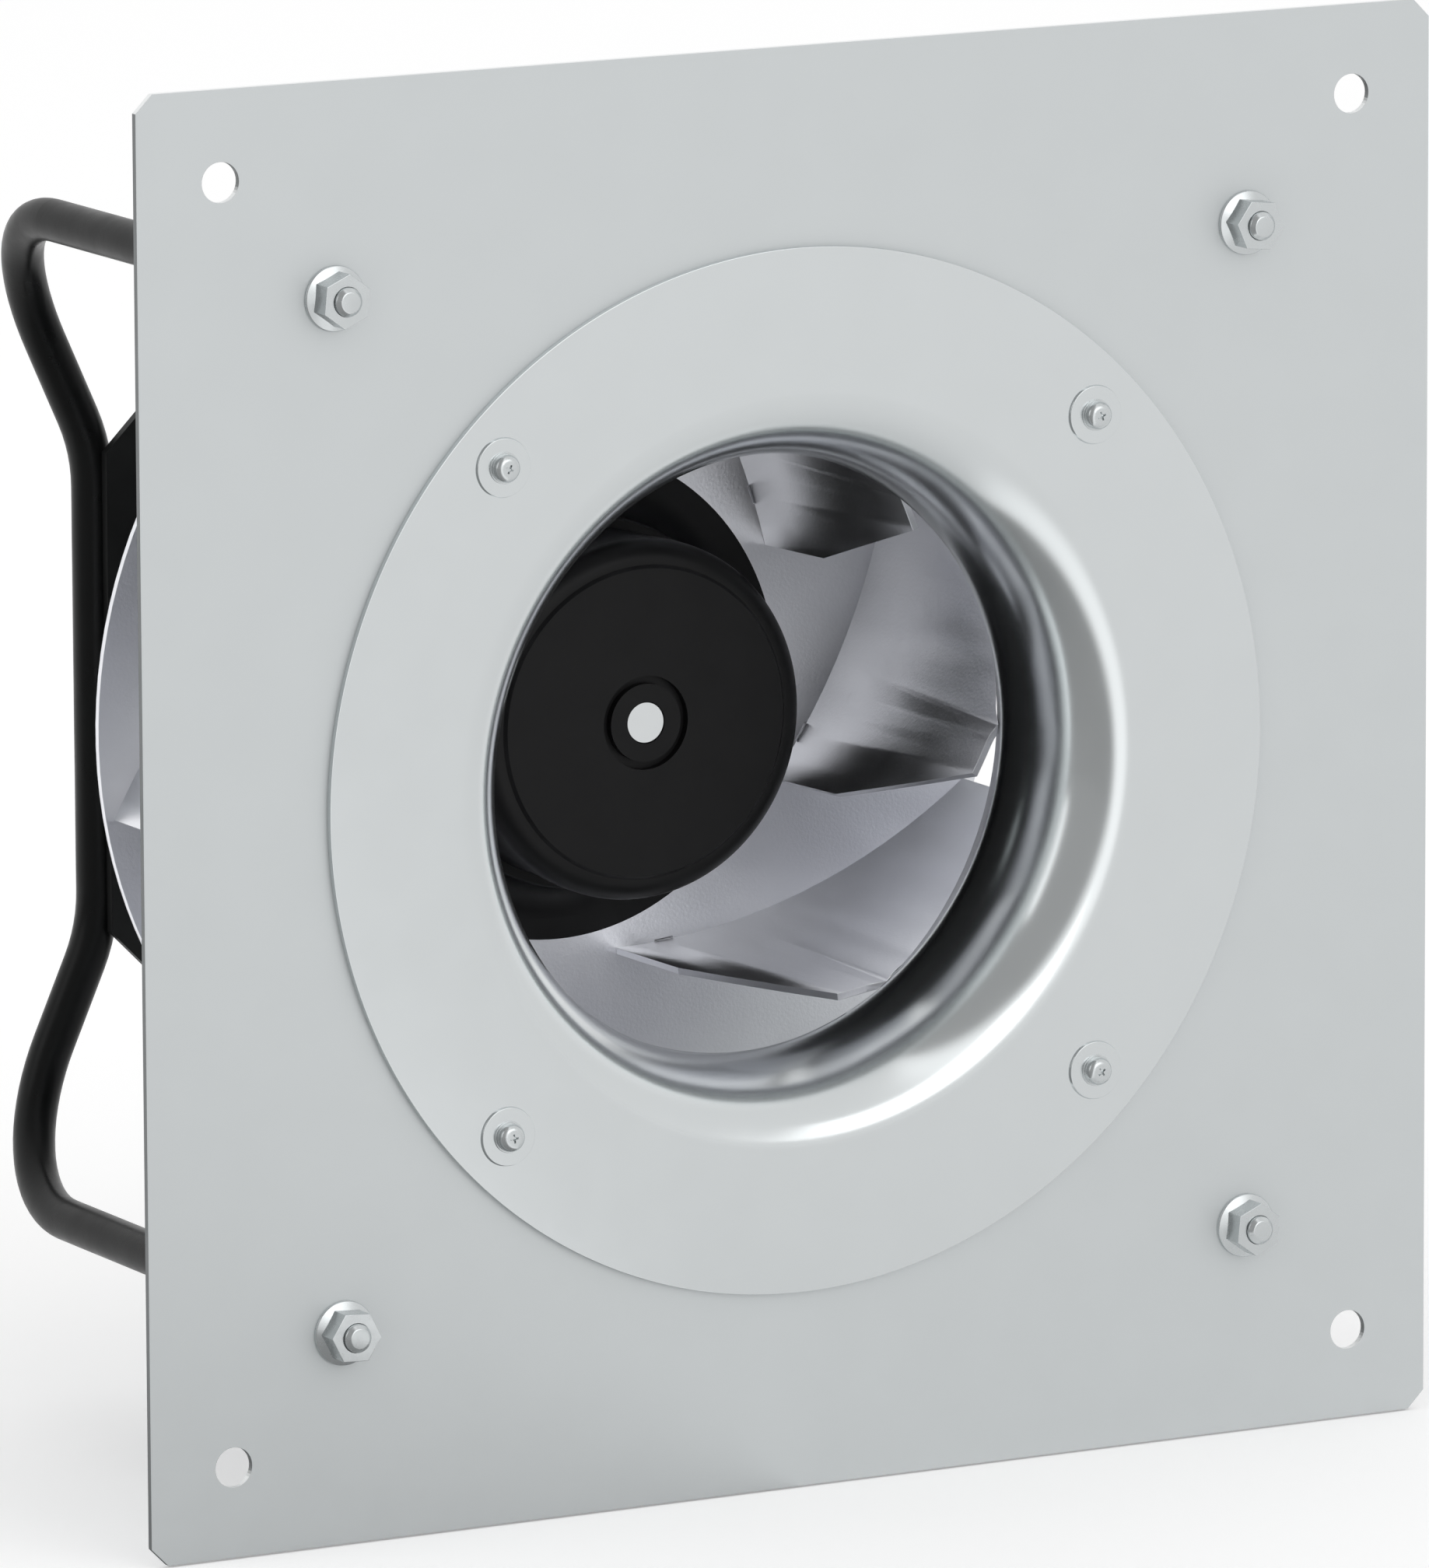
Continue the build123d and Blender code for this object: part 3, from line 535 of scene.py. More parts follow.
def turned(corners: list[Corner], steps: int = 64, segments: int = 4) -> bmesh.types.BMesh:
    """Turn a closed profile about the Y axis, with its corners rounded first.

    Args:
        corners: The profile's corners in order.
        steps: Steps of the full turn.
        segments: Steps of each rounded corner.

    Returns:
        The closed shell, in metres, its normals outwards.
    """
    mesh = bmesh.new()
    marks = [mesh.verts.new((c.radius * MM, c.depth * MM, 0)) for c in corners]
    mesh.faces.new(marks)
    for mark, corner in zip(marks, corners):
        if corner.round > 0:
            bmesh.ops.bevel(
                mesh,
                geom=[mark],
                offset=corner.round * MM,
                segments=segments,
                profile=0.5,
                affect="VERTICES",
                material=-1,
            )
    bmesh.ops.delete(mesh, geom=mesh.faces[:], context="FACES_ONLY")
    on_axis = [e for e in mesh.edges if all(v.co.x < 1e-7 for v in e.verts)]
    bmesh.ops.delete(mesh, geom=on_axis, context="EDGES")
    bmesh.ops.spin(
        mesh,
        geom=mesh.verts[:] + mesh.edges[:],
        cent=(0, 0, 0),
        axis=FAN_AXIS,
        angle=TURN,
        steps=steps,
        use_merge=True,
    )
    return cleaned(mesh)


def cleaned(mesh: bmesh.types.BMesh) -> bmesh.types.BMesh:
    """Merge doubled points and turn every face outwards.

    Args:
        mesh: The mesh to clean.

    Returns:
        The same mesh.
    """
    bmesh.ops.remove_doubles(mesh, verts=mesh.verts, dist=1e-6)
    bmesh.ops.dissolve_degenerate(mesh, dist=1e-7, edges=mesh.edges)
    bmesh.ops.recalc_face_normals(mesh, faces=mesh.faces)
    return mesh


def prism(sides: int, across: float, near: float, far: float, turn: float = 0.0) -> bmesh.types.BMesh:
    """Raise a regular prism along Y.

    Args:
        sides: Number of sides.
        across: Distance across the flats in millimetres.
        near: Depth of its front face in millimetres.
        far: Depth of its back face in millimetres.
        turn: Turn about Y in degrees.

    Returns:
        The closed prism.
    """
    mesh = bmesh.new()
    radius = across / 2 / math.cos(math.pi / sides) * MM
    bmesh.ops.create_circle(mesh, cap_ends=True, segments=sides, radius=radius)
    bmesh.ops.rotate(mesh, verts=mesh.verts, matrix=Matrix.Rotation(math.radians(90), 3, "X"))
    bmesh.ops.rotate(mesh, verts=mesh.verts, matrix=Matrix.Rotation(math.radians(turn), 3, "Y"))
    bmesh.ops.translate(mesh, verts=mesh.verts, vec=(0, near * MM, 0))
    raised = bmesh.ops.extrude_face_region(mesh, geom=mesh.faces[:])
    far_side = [g for g in raised["geom"] if isinstance(g, bmesh.types.BMVert)]
    bmesh.ops.translate(mesh, verts=far_side, vec=(0, (far - near) * MM, 0))
    return cleaned(mesh)


def soften_edges(mesh: bmesh.types.BMesh, width: float, angle: float = 35.0, segments: int = 2) -> None:
    """Break the sharp edges of a mesh.

    Args:
        mesh: The mesh to work on.
        width: Width of the broken edge in millimetres.
        angle: Edges that turn less than this many degrees stay as they are.
        segments: Steps across the broken edge.
    """
    limit = math.radians(angle)
    sharp = [e for e in mesh.edges if e.is_manifold and e.calc_face_angle(0.0) > limit]
    bmesh.ops.bevel(
        mesh,
        geom=sharp,
        offset=width * MM,
        segments=segments,
        profile=0.5,
        affect="EDGES",
        clamp_overlap=True,
        material=-1,
    )


def joined(parts: list[bmesh.types.BMesh]) -> bmesh.types.BMesh:
    """Put several meshes into one, freeing them.

    Args:
        parts: The meshes.

    Returns:
        A mesh that holds them all.
    """
    whole = bmesh.new()
    for part in parts:
        data = bpy.data.meshes.new("part")
        part.to_mesh(data)
        part.free()
        whole.from_mesh(data)
        bpy.data.meshes.remove(data)
    return whole


def copied(mesh: bmesh.types.BMesh, places: list[Matrix]) -> bmesh.types.BMesh:
    """Set one copy of a mesh at every place, and free it.

    Args:
        mesh: The mesh to repeat, made round the origin.
        places: Where each copy stands.

    Returns:
        A mesh that holds all the copies.
    """
    copies = []
    for place in places:
        copy = mesh.copy()
        bmesh.ops.transform(copy, matrix=place, verts=copy.verts)
        copies.append(copy)
    mesh.free()
    return joined(copies)


def round_circle(radius: float, count: int, start: float = 45.0, turns: tuple[float, ...] = ()) -> list[Matrix]:
    """Places on a pitch circle in the plate's plane.

    Args:
        radius: Radius of the circle in millimetres.
        count: Number of places.
        start: Angle of the first in degrees, from +X towards +Z.
        turns: How far each copy is turned about its own axis in degrees, or none.

    Returns:
        One matrix for each place.
    """
    places = []
    for index in range(count):
        angle = math.radians(start + 360 / count * index)
        spot = Vector((radius * math.cos(angle), 0, radius * math.sin(angle))) * MM
        own = math.radians(turns[index % len(turns)]) if turns else 0.0
        places.append(Matrix.Translation(spot) @ Matrix.Rotation(-own, 4, "Y"))
    return places


class Cut(Enum):
    """What a tool leaves of the mesh that it works on."""

    AWAY = "DIFFERENCE"
    COMMON = "INTERSECT"


def cut(mesh: bmesh.types.BMesh, tool: bmesh.types.BMesh, what: Cut = Cut.AWAY) -> bmesh.types.BMesh:
    """Cut one closed mesh with another, for recesses that no single operator makes.

    Args:
        mesh: The mesh to cut, which is freed.
        tool: The tool, which is freed.
        what: What is left.

    Returns:
        The cut mesh.
    """
    held = finished("held", mesh)
    knife = finished("knife", tool)
    step = held.modifiers.new("cut", "BOOLEAN")
    step.operation = what.value
    step.object = knife
    step.solver = "EXACT"
    step.use_self = True
    whole = bmesh.new()
    whole.from_object(held, bpy.context.evaluated_depsgraph_get())
    for used in (held, knife):
        data = used.data
        bpy.data.objects.remove(used)
        bpy.data.meshes.remove(data)
    return cleaned(whole)


def finished(name: str, mesh: bmesh.types.BMesh, sharp: float = 32.0) -> bpy.types.Object:
    """Turn a bmesh into a linked, smooth-shaded object that sits at the origin.

    Args:
        name: The object's name.
        mesh: The mesh, which is freed.
        sharp: Edges that turn more than this many degrees stay sharp.

    Returns:
        The new object.
    """
    for face in mesh.faces:
        face.smooth = True
    data = bpy.data.meshes.new(name)
    mesh.to_mesh(data)
    mesh.free()
    data.set_sharp_from_angle(angle=math.radians(sharp))
    made = bpy.data.objects.new(name, data)
    bpy.context.scene.collection.objects.link(made)
    return made


@dataclass
class Dressing:
    """Hands out the finishes and attaches the pieces to their bodies.

    Args:
        materials: The made finishes by slot.
    """

    frame: dict
    materials: dict[Slot, bpy.types.Material]

    def piece(
        self,
        name: str,
        mesh: bmesh.types.BMesh,
        slot: Slot,
        body: str,
        stands_for: tuple[str, ...],
        material: bpy.types.Material | None = None,
    ) -> bpy.types.Object:
        """Finish a new piece: its object, its material, its body and the nodes it stands for.

        Args:
            name: The piece's name.
            mesh: Its mesh, which is freed.
            slot: Its material slot.
            body: The body that it moves with.
            stands_for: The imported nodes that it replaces.
            material: Its finish, where that isn't the slot's own.

        Returns:
            The piece.
        """
        made = finished(name, mesh)
        made.data.materials.append(material or self.materials[slot])
        level = made.modifiers.new("level", "WEIGHTED_NORMAL")
        level.mode = "FACE_AREA"
        level.weight = 100
        level.keep_sharp = True
        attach(made, body)
        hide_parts(*stands_for)
        LOG.info("%s: %d faces, rides on %s", name, len(made.data.polygons), body)
        return made

    def nodes(self) -> None:
        """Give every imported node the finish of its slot."""
        slots = {part["node"]: Slot(part["material_slot"]) for part in self.frame["record"]["subparts"]}
        for name, node in self.frame["nodes"].items():
            node.data.materials.clear()
            node.data.materials.append(self.materials[slots[name]])
            LOG.info("%s: %s", name, slots[name].value)

    def break_edges(self, name: str, width: float) -> None:
        """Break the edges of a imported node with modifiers, leaving its mesh as it is.

        Args:
            name: The node.
            width: Width of the broken edge in millimetres.
        """
        node = self.frame["nodes"][name]
        merge = node.modifiers.new("merge", "WELD")
        merge.merge_threshold = 1e-6
        flat = node.modifiers.new("flat", "DECIMATE")
        flat.decimate_type = "DISSOLVE"
        flat.angle_limit = math.radians(0.5)
        soft = node.modifiers.new("soft", "BEVEL")
        soft.width = width * MM
        soft.segments = 2
        soft.limit_method = "ANGLE"
        soft.angle_limit = math.radians(35)
        soft.harden_normals = True


@dataclass
class InletNozzle:
    """The spun nozzle: flat ring, quarter ellipse bell, flared lip and pressed pads. Sizes in mm."""

    ring_radius: float = 145.0
    front: float = -2.0
    sheet: float = 2.0
    bell_radius: float = 105.0
    bell_depth: float = 32.0
    throat_radius: float = 84.0
    lip_start: float = 35.0
    lip_end: float = 38.0
    lip_flare: float = 0.7
    pad_circle: float = 130.0
    pad_base: float = 8.3
    pad_top: float = 8.0
    pad_height: float = 0.8
    pad_hole: float = 2.25

    def bell(self) -> bmesh.types.BMesh:
        """Spin the front skin and give it the sheet's thickness.

        Returns:
            The nozzle without its pads.
        """
        mesh = bmesh.new()
        bmesh.ops.create_circle(mesh, segments=128, radius=1.0)
        wide = self.bell_radius - self.throat_radius
        high = self.bell_depth - self.front
        bmesh.ops.scale(mesh, verts=mesh.verts, vec=(wide * MM, high * MM, 1))
        bmesh.ops.translate(mesh, verts=mesh.verts, vec=(self.bell_radius * MM, self.bell_depth * MM, 0))
        limit = 1e-7
        out = [v for v in mesh.verts if v.co.x > self.bell_radius * MM + limit or v.co.y > self.bell_depth * MM + limit]
        bmesh.ops.delete(mesh, geom=out, context="VERTS")
        rim = min(mesh.verts, key=lambda v: v.co.y)
        throat = max(mesh.verts, key=lambda v: v.co.y)
        edge = mesh.verts.new((self.ring_radius * MM, self.front * MM, 0))
        neck = mesh.verts.new((self.throat_radius * MM, self.lip_start * MM, 0))
        lip = mesh.verts.new(((self.throat_radius + self.lip_flare) * MM, self.lip_end * MM, 0))
        for pair in ((rim, edge), (throat, neck), (neck, lip)):
            mesh.edges.new(pair)
        bmesh.ops.spin(
            mesh,
            geom=mesh.verts[:] + mesh.edges[:],
            cent=(0, 0, 0),
            axis=FAN_AXIS,
            angle=TURN,
            steps=256,
            use_merge=True,
        )
        bmesh.ops.remove_doubles(mesh, verts=mesh.verts, dist=1e-6)
        flat_ring = max(mesh.faces, key=lambda f: f.calc_center_median().xz.length)
        bmesh.ops.recalc_face_normals(mesh, faces=mesh.faces)
        flat_ring.normal_update()
        if flat_ring.normal.y > 0:
            bmesh.ops.reverse_faces(mesh, faces=mesh.faces)
        bmesh.ops.solidify(mesh, geom=mesh.faces[:], thickness=self.sheet * MM)
        soften_edges(mesh, 0.2, 60.0)
        return mesh

    def pads(self) -> bmesh.types.BMesh:
        """Make the four raised pads under the screws.

        Returns:
            The pads, their feet inside the ring.
        """
        top = self.front - self.pad_height
        pad = turned(
            [
                Corner(self.pad_hole, self.front + 0.4),
                Corner(self.pad_base, self.front + 0.4),
                Corner(self.pad_base, self.front, 0.15),
                Corner(self.pad_top, top, 0.14),
                Corner(self.pad_hole, top, 0.1),
            ],
            96,
        )
        return copied(pad, round_circle(self.pad_circle, 4))

    def build(self, dressing: Dressing) -> None:
        """Build and dress the nozzle.

        Args:
            dressing: Hands out finishes and attaches pieces to their bodies.
        """
        mesh = joined([self.bell(), self.pads()])
        dressing.piece("spun_nozzle", mesh, Slot.GALVANISED, "frame", ("inlet_nozzle",), NOZZLE_FINISH.make())


@dataclass
class NozzleScrews:
    """Pan head screws with a cross recess, each on a spring washer and a flat washer. Sizes in mm."""

    circle: float = 130.0
    seat: float = -2.8
    flat_radius: float = 4.4
    flat_height: float = 0.4
    spring_radius: float = 3.95
    spring_height: float = 0.6
    head_radius: float = 3.85
    head_height: float = 2.3
    shank_radius: float = 2.0
    shank_end: float = 12.0
    recess_reach: float = 1.75
    recess_width: float = 0.62
    recess_depth: float = 0.75
    turns: tuple[float, ...] = (20.0, 65.0, 8.0, 38.0)

    def recess(self, top: float) -> bmesh.types.BMesh:
        """Make the tool of the cross recess: a tapered cross over a small turned square.

        Args:
            top: Depth of the head's top in millimetres.

        Returns:
            The tool.
        """
        tool = bmesh.new()
        for turn in (0.0, 90.0):
            self.bar(tool, top, self.recess_reach, self.recess_width, turn)
        whole = tool
        square = bmesh.new()
        self.bar(square, top, self.recess_width * 1.15, self.recess_width * 2.3, 45.0)
        return joined([whole, square])

    def bar(self, mesh: bmesh.types.BMesh, top: float, reach: float, width: float, turn: float) -> None:
        """Add one tapered bar to the recess tool.

        Args:
            mesh: The tool.
            top: Depth of the head's top in millimetres.
            reach: Half the bar's length in millimetres.
            width: The bar's width in millimetres.
            turn: Turn about Y in degrees.
        """
        made = bmesh.ops.create_cube(mesh, size=1.0)["verts"]
        bmesh.ops.scale(mesh, verts=made, vec=(2 * reach * MM, 2 * self.recess_depth * MM, width * MM))
        deep = [v for v in made if v.co.y > 0]
        bmesh.ops.scale(mesh, verts=deep, vec=(0.45, 1, 0.7))
        bmesh.ops.rotate(mesh, verts=made, matrix=Matrix.Rotation(math.radians(turn), 3, "Y"))
        bmesh.ops.translate(mesh, verts=made, vec=(0, top * MM, 0))

    def washers(self) -> tuple[bmesh.types.BMesh, bmesh.types.BMesh]:
        """Make the flat washers and the split spring washers.

        Returns:
            The flat washers and the spring washers.
        """
        flat_top = self.seat - self.flat_height
        spring_top = flat_top - self.spring_height
        bore = self.shank_radius + 0.15
        flat = turned(
            [
                Corner(bore, self.seat),
                Corner(self.flat_radius, self.seat, 0.08),
                Corner(self.flat_radius, flat_top, 0.12),
                Corner(bore, flat_top, 0.08),
            ],
            72,
        )
        spring = turned(
            [
                Corner(bore, flat_top),
                Corner(self.spring_radius, flat_top, 0.1),
                Corner(self.spring_radius, spring_top, 0.1),
                Corner(bore, spring_top),
            ],
            72,
        )
        saw = bmesh.new()
        bmesh.ops.create_cube(saw, size=1.0)
        bmesh.ops.scale(saw, verts=saw.verts, vec=(0.5 * MM, 3 * MM, 3 * MM))
        bmesh.ops.rotate(saw, verts=saw.verts, matrix=Matrix.Rotation(math.radians(25), 3, "Z"))
        middle = ((flat_top + spring_top) / 2 * MM, -(bore + self.spring_radius) / 2 * MM)
        bmesh.ops.translate(saw, verts=saw.verts, vec=(0, *middle))
        places = round_circle(self.circle, 4, 45.0, self.turns)
        return copied(flat, places), copied(cut(spring, saw), places)

    def screws(self) -> bmesh.types.BMesh:
        """Make the screws with their recesses.

        Returns:
            The four screws.
        """
        under = self.seat - self.flat_height - self.spring_height
        top = under - self.head_height
        screw = turned(
            [
                Corner(0.0, top),
                Corner(self.head_radius, top, 1.85),
                Corner(self.head_radius, under, 0.15),
                Corner(self.shank_radius, under),
                Corner(self.shank_radius, self.shank_end, 0.4),
                Corner(0.0, self.shank_end),
            ],
            72,
            8,
        )
        return copied(cut(screw, self.recess(top)), round_circle(self.circle, 4, 45.0, self.turns))

    def build(self, dressing: Dressing) -> None:
        """Build and dress the screws and their washers.

        Args:
            dressing: Hands out finishes and attaches pieces to their bodies.
        """
        flat, spring = self.washers()
        dressing.piece("pad_flat_washers", flat, Slot.ZINC, "frame", ("nozzle_flat_washers",))
        dressing.piece("pad_spring_washers", spring, Slot.ZINC, "frame", ("nozzle_spring_washers",))
        dressing.piece("cross_screws", self.screws(), Slot.ZINC, "frame", ("nozzle_screws",))


@dataclass
class FlangeNuts:
    """Hexagon nuts with a cone and a round flange that hold the frame. Sizes in mm."""

    circle: float = 200.0
    flange_radius: float = 8.95
    flange_edge: float = 1.0
    flange_height: float = 1.75
    across_flats: float = 13.0
    height: float = 8.0
    bore: float = 4.0
    countersink: float = 4.15
    turns: tuple[float, ...] = (-6.0, 24.0, -3.0, 24.0)

    def one(self) -> bmesh.types.BMesh:
        """Make one nut round the origin.

        Returns:
            The nut.
        """
        hexagon = prism(6, self.across_flats, -self.height, -0.6, 30.0)
        soften_edges(hexagon, 0.18)
        drill = turned(
            [
                Corner(0.0, -self.height - 1),
                Corner(self.countersink + 1, -self.height - 1),
                Corner(self.bore, -self.height + self.countersink - self.bore),
                Corner(self.bore, 1.0),
                Corner(0.0, 1.0),
            ],
            64,
        )
        hexagon = cut(hexagon, drill)
        flange = turned(
            [
                Corner(self.bore, 0.0),
                Corner(self.flange_radius, 0.0, 0.12),
                Corner(self.flange_radius, -self.flange_edge, 0.3),
                Corner(self.across_flats / 2 + 0.1, -self.flange_height, 0.5),
                Corner(self.across_flats / 2 - 1.0, -self.flange_height - 0.3),
                Corner(self.bore, -self.flange_height - 0.3),
            ],
            96,
        )
        return joined([hexagon, flange])

    def build(self, dressing: Dressing) -> None:
        """Build and dress the four nuts.

        Args:
            dressing: Hands out finishes and attaches pieces to their bodies.
        """
        nuts = copied(self.one(), round_circle(self.circle, 4, 45.0, self.turns))
        dressing.piece("flange_nuts", nuts, Slot.ZINC, "frame", ("frame_nuts",))


@dataclass
class FrameStuds:
    """Rolled M8 studs with their plugs in the tube ends. Sizes in mm."""

    circle: float = 200.0
    radius: float = 4.0
    tip: float = -10.0
    tip_chamfer: float = 1.15
    thread_depth: float = 0.5
    pitch: float = 1.25
    plate_back: float = 2.0
    plug_radius: float = 4.45
    plug_end: float = 24.0

    def one(self) -> bmesh.types.BMesh:
        """Make one stud: a chamfered tip, rolled grooves and the plug behind the plate.

        Returns:
            The stud.
        """
        corners = [
            Corner(0.0, self.tip),
            Corner(self.radius - self.tip_chamfer, self.tip, 0.25),
            Corner(self.radius, self.tip + self.tip_chamfer, 0.3),
        ]
        depth = self.tip + self.tip_chamfer + self.pitch / 2
        while depth < self.plate_back - self.pitch:
            corners.append(Corner(self.radius, depth))
            corners.append(Corner(self.radius - self.thread_depth, depth + self.pitch / 2))
            depth += self.pitch
        corners += [
            Corner(self.radius, self.plate_back),
            Corner(self.plug_radius, self.plate_back),
            Corner(self.plug_radius, self.plug_end, 0.5),
            Corner(0.0, self.plug_end),
        ]
        return turned(corners, 48)

    def build(self, dressing: Dressing) -> None:
        """Build and dress the four studs.

        Args:
            dressing: Hands out finishes and attaches pieces to their bodies.
        """
        studs = copied(self.one(), round_circle(self.circle, 4))
        dressing.piece("rolled_studs", studs, Slot.ZINC, "frame", ("frame_studs",))


@dataclass
class MotorBolts:
    """Hexagon bolts and washers that carry the motor, behind its plate. Sizes in mm."""

    circle: float = 42.0
    seat: float = 208.6
    washer_radius: float = 6.0
    washer_height: float = 1.6
    hole: float = 3.3
    across_flats: float = 10.0
    head_height: float = 4.0
    thread: float = 3.0
    tip: float = 193.6

    def washers(self) -> bmesh.types.BMesh:
        """Make the four washers.

        Returns:
            The washers.
        """
        washer = turned(
            [
                Corner(self.hole, self.seat, 0.1),
                Corner(self.washer_radius, self.seat, 0.15),
                Corner(self.washer_radius, self.seat + self.washer_height, 0.25),
                Corner(self.hole, self.seat + self.washer_height, 0.15),
            ],
            72,
        )
        return copied(washer, round_circle(self.circle, 4))

    def bolts(self) -> bmesh.types.BMesh:
        """Make the four bolts, their heads turned down at the corners.

        Returns:
            The bolts.
        """
        under = self.seat + self.washer_height
        top = under + self.head_height
        half = self.across_flats / 2
        head = prism(6, self.across_flats, under, top, 12.0)
        cone = turned(
            [
                Corner(0.0, under - 1),
                Corner(half + 3, under - 1),
                Corner(half + 3, top - math.tan(math.radians(30)) * 3.2),
                Corner(half - 0.2, top, 0.15),
                Corner(0.0, top),
            ],
            72,
        )
        head = cut(head, cone, Cut.COMMON)
        shank = turned([Corner(0.0, self.tip), Corner(self.thread, self.tip, 0.5), Corner(self.thread, under), Corner(0.0, under)], 48)
        return copied(joined([head, shank]), round_circle(self.circle, 4))

    def build(self, dressing: Dressing) -> None:
        """Build and dress the bolts and washers.

        Args:
            dressing: Hands out finishes and attaches pieces to their bodies.
        """
        dressing.piece("motor_plate_washers", self.washers(), Slot.ZINC, "frame", ("motor_washers",))
        dressing.piece("hexagon_bolts", self.bolts(), Slot.ZINC, "frame", ("motor_bolts",))


@dataclass
class WeldSeams:
    """Rippled weld beads between the motor plate and the two tubes. Sizes in mm."""

    tube_run: float = 108.9
    tube_radius: float = 6.0
    plate_back: float = 208.6
    length: float = 24.0
    spacing: float = 92.0
    thickness: float = 2.3
    ripple: float = 0.28
    ripple_pitch: float = 1.7

    def one(self) -> bmesh.types.BMesh:
        """Make one bead along Z: a turned rod whose ripples lean and whose ends taper.

        Returns:
            The bead round the origin.
        """
        mesh = bmesh.new()
        ends = [mesh.verts.new((0, 0, side * self.length / 2 * MM)) for side in (-1, 1)]
        mesh.edges.new(ends)
        bmesh.ops.subdivide_edges(mesh, edges=mesh.edges[:], cuts=95)
        half = self.length / 2
        for vert in mesh.verts:
            along = vert.co.z / MM
            taper = math.sqrt(max(1 - (abs(along) / half) ** 6, 0.0))
            wave = abs(math.sin(math.pi * along / self.ripple_pitch + 0.4 * math.sin(along)))
            vert.co.x = (self.thickness - self.ripple * (1 - wave)) * taper * MM
        bmesh.ops.spin(
            mesh,
            geom=mesh.verts[:] + mesh.edges[:],
            cent=(0, 0, 0),
            axis=(0, 0, 1),
            angle=TURN,
            steps=28,
            use_merge=True,
        )
        for vert in mesh.verts:
            vert.co.z += 0.12 * vert.co.x + 0.05 * abs(vert.co.y)
        return cleaned(mesh)

    def build(self, dressing: Dressing) -> None:
        """Build and dress the four beads.

        Args:
            dressing: Hands out finishes and attaches pieces to their bodies.
        """
        seat = self.tube_run - self.tube_radius - 0.1
        places = [
            Matrix.Translation(Vector((side * seat, self.plate_back + 0.7, height * self.spacing / 2)) * MM)
            @ Matrix.Rotation(math.radians(side * 40), 4, "Z")
            @ Matrix.Diagonal((1.0, 0.8, 1.0, 1.0))
            for side in (-1, 1)
            for height in (-1, 1)
        ]
        beads = copied(self.one(), places)
        dressing.piece("weld_beads", beads, Slot.TUBE, "frame", ("frame_welds",))


@dataclass
class CableGland:
    """The gland's body with its hexagon and the ribbed dome nut. Sizes in mm."""

    drop: float = 8.0
    housing_back: float = 205.6
    hexagon: float = 24.0
    hexagon_height: float = 6.0
    thread: float = 8.0
    thread_length: float = 8.0
    bore: float = 5.0
    nut_radius: float = 11.5
    nut_length: float = 13.0
    nut_mouth: float = 6.4
    nut_bore: float = 7.2
    ribs: int = 12

    def place(self) -> list[Matrix]:
        """Where the gland stands in the housing's back."""
        return [Matrix.Translation(Vector((0, 0, -self.drop * MM)))]

    def body(self) -> bmesh.types.BMesh:
        """Make the body: hexagon, collar and threaded sleeve, bored through.

        Returns:
            The body.
        """
        back = self.housing_back + self.hexagon_height
        head = prism(6, self.hexagon, self.housing_back, back)
        round_off = turned(
            [
                Corner(0.0, self.housing_back - 1),
                Corner(self.hexagon / 2 + 3, self.housing_back - 1),
                Corner(self.hexagon / 2 + 3, back - 1.4),
                Corner(self.hexagon / 2 + 0.1, back, 0.2),
                Corner(0.0, back),
            ],
            96,
        )
        head = cut(head, round_off, Cut.COMMON)
        drill = turned(
            [
                Corner(0.0, self.housing_back - 2),
                Corner(self.bore, self.housing_back - 2),
                Corner(self.bore, back + 1),
                Corner(0.0, back + 1),
            ],
            64,
        )
        head = cut(head, drill)
        front = self.housing_back - self.thread_length
        sleeve = turned(
            [
                Corner(self.bore, front),
                Corner(self.thread, front, 0.4),
                Corner(self.thread, self.housing_back + 0.1),
                Corner(self.bore, self.housing_back + 0.1),
            ],
            64,
        )
        return copied(joined([head, sleeve]), self.place())

    def nut(self) -> bmesh.types.BMesh:
        """Make the dome nut with grip ribs round its straight part.

        Returns:
            The nut.
        """
        front = self.housing_back + self.hexagon_height
        back = front + self.nut_length
        shell = turned(
            [
                Corner(self.nut_bore, front),
                Corner(self.nut_radius - 0.8, front, 0.3),
                Corner(self.nut_radius - 0.8, front + 7.0, 1.5),
                Corner(self.nut_radius - 3.5, back, 1.6),
                Corner(self.nut_mouth, back, 0.5),
                Corner(self.nut_mouth, back - 2.0, 0.2),
                Corner(self.nut_bore, back - 2.0),
            ],
            96,
            6,
        )
        rib = bmesh.new()
        bmesh.ops.create_cube(rib, size=1.0)
        bmesh.ops.scale(rib, verts=rib.verts, vec=(1.6 * MM, 6.4 * MM, 2.2 * MM))
        soften_edges(rib, 0.5, 35.0, 3)
        reach = (self.nut_radius - 0.8) * MM
        bmesh.ops.translate(rib, verts=rib.verts, vec=(reach, (front + 3.8) * MM, 0))
        turns = [Matrix.Rotation(TURN * index / self.ribs, 4, "Y") for index in range(self.ribs)]
        return copied(joined([shell, copied(rib, turns)]), self.place())

    def build(self, dressing: Dressing) -> None:
        """Build and dress the gland.

        Args:
            dressing: Hands out finishes and attaches pieces to their bodies.
        """
        dressing.piece("gland_hexagon_body", self.body(), Slot.GLAND, "frame", ("gland_body",))
        dressing.piece("gland_dome_nut", self.nut(), Slot.GLAND, "frame", ("gland_nut",))


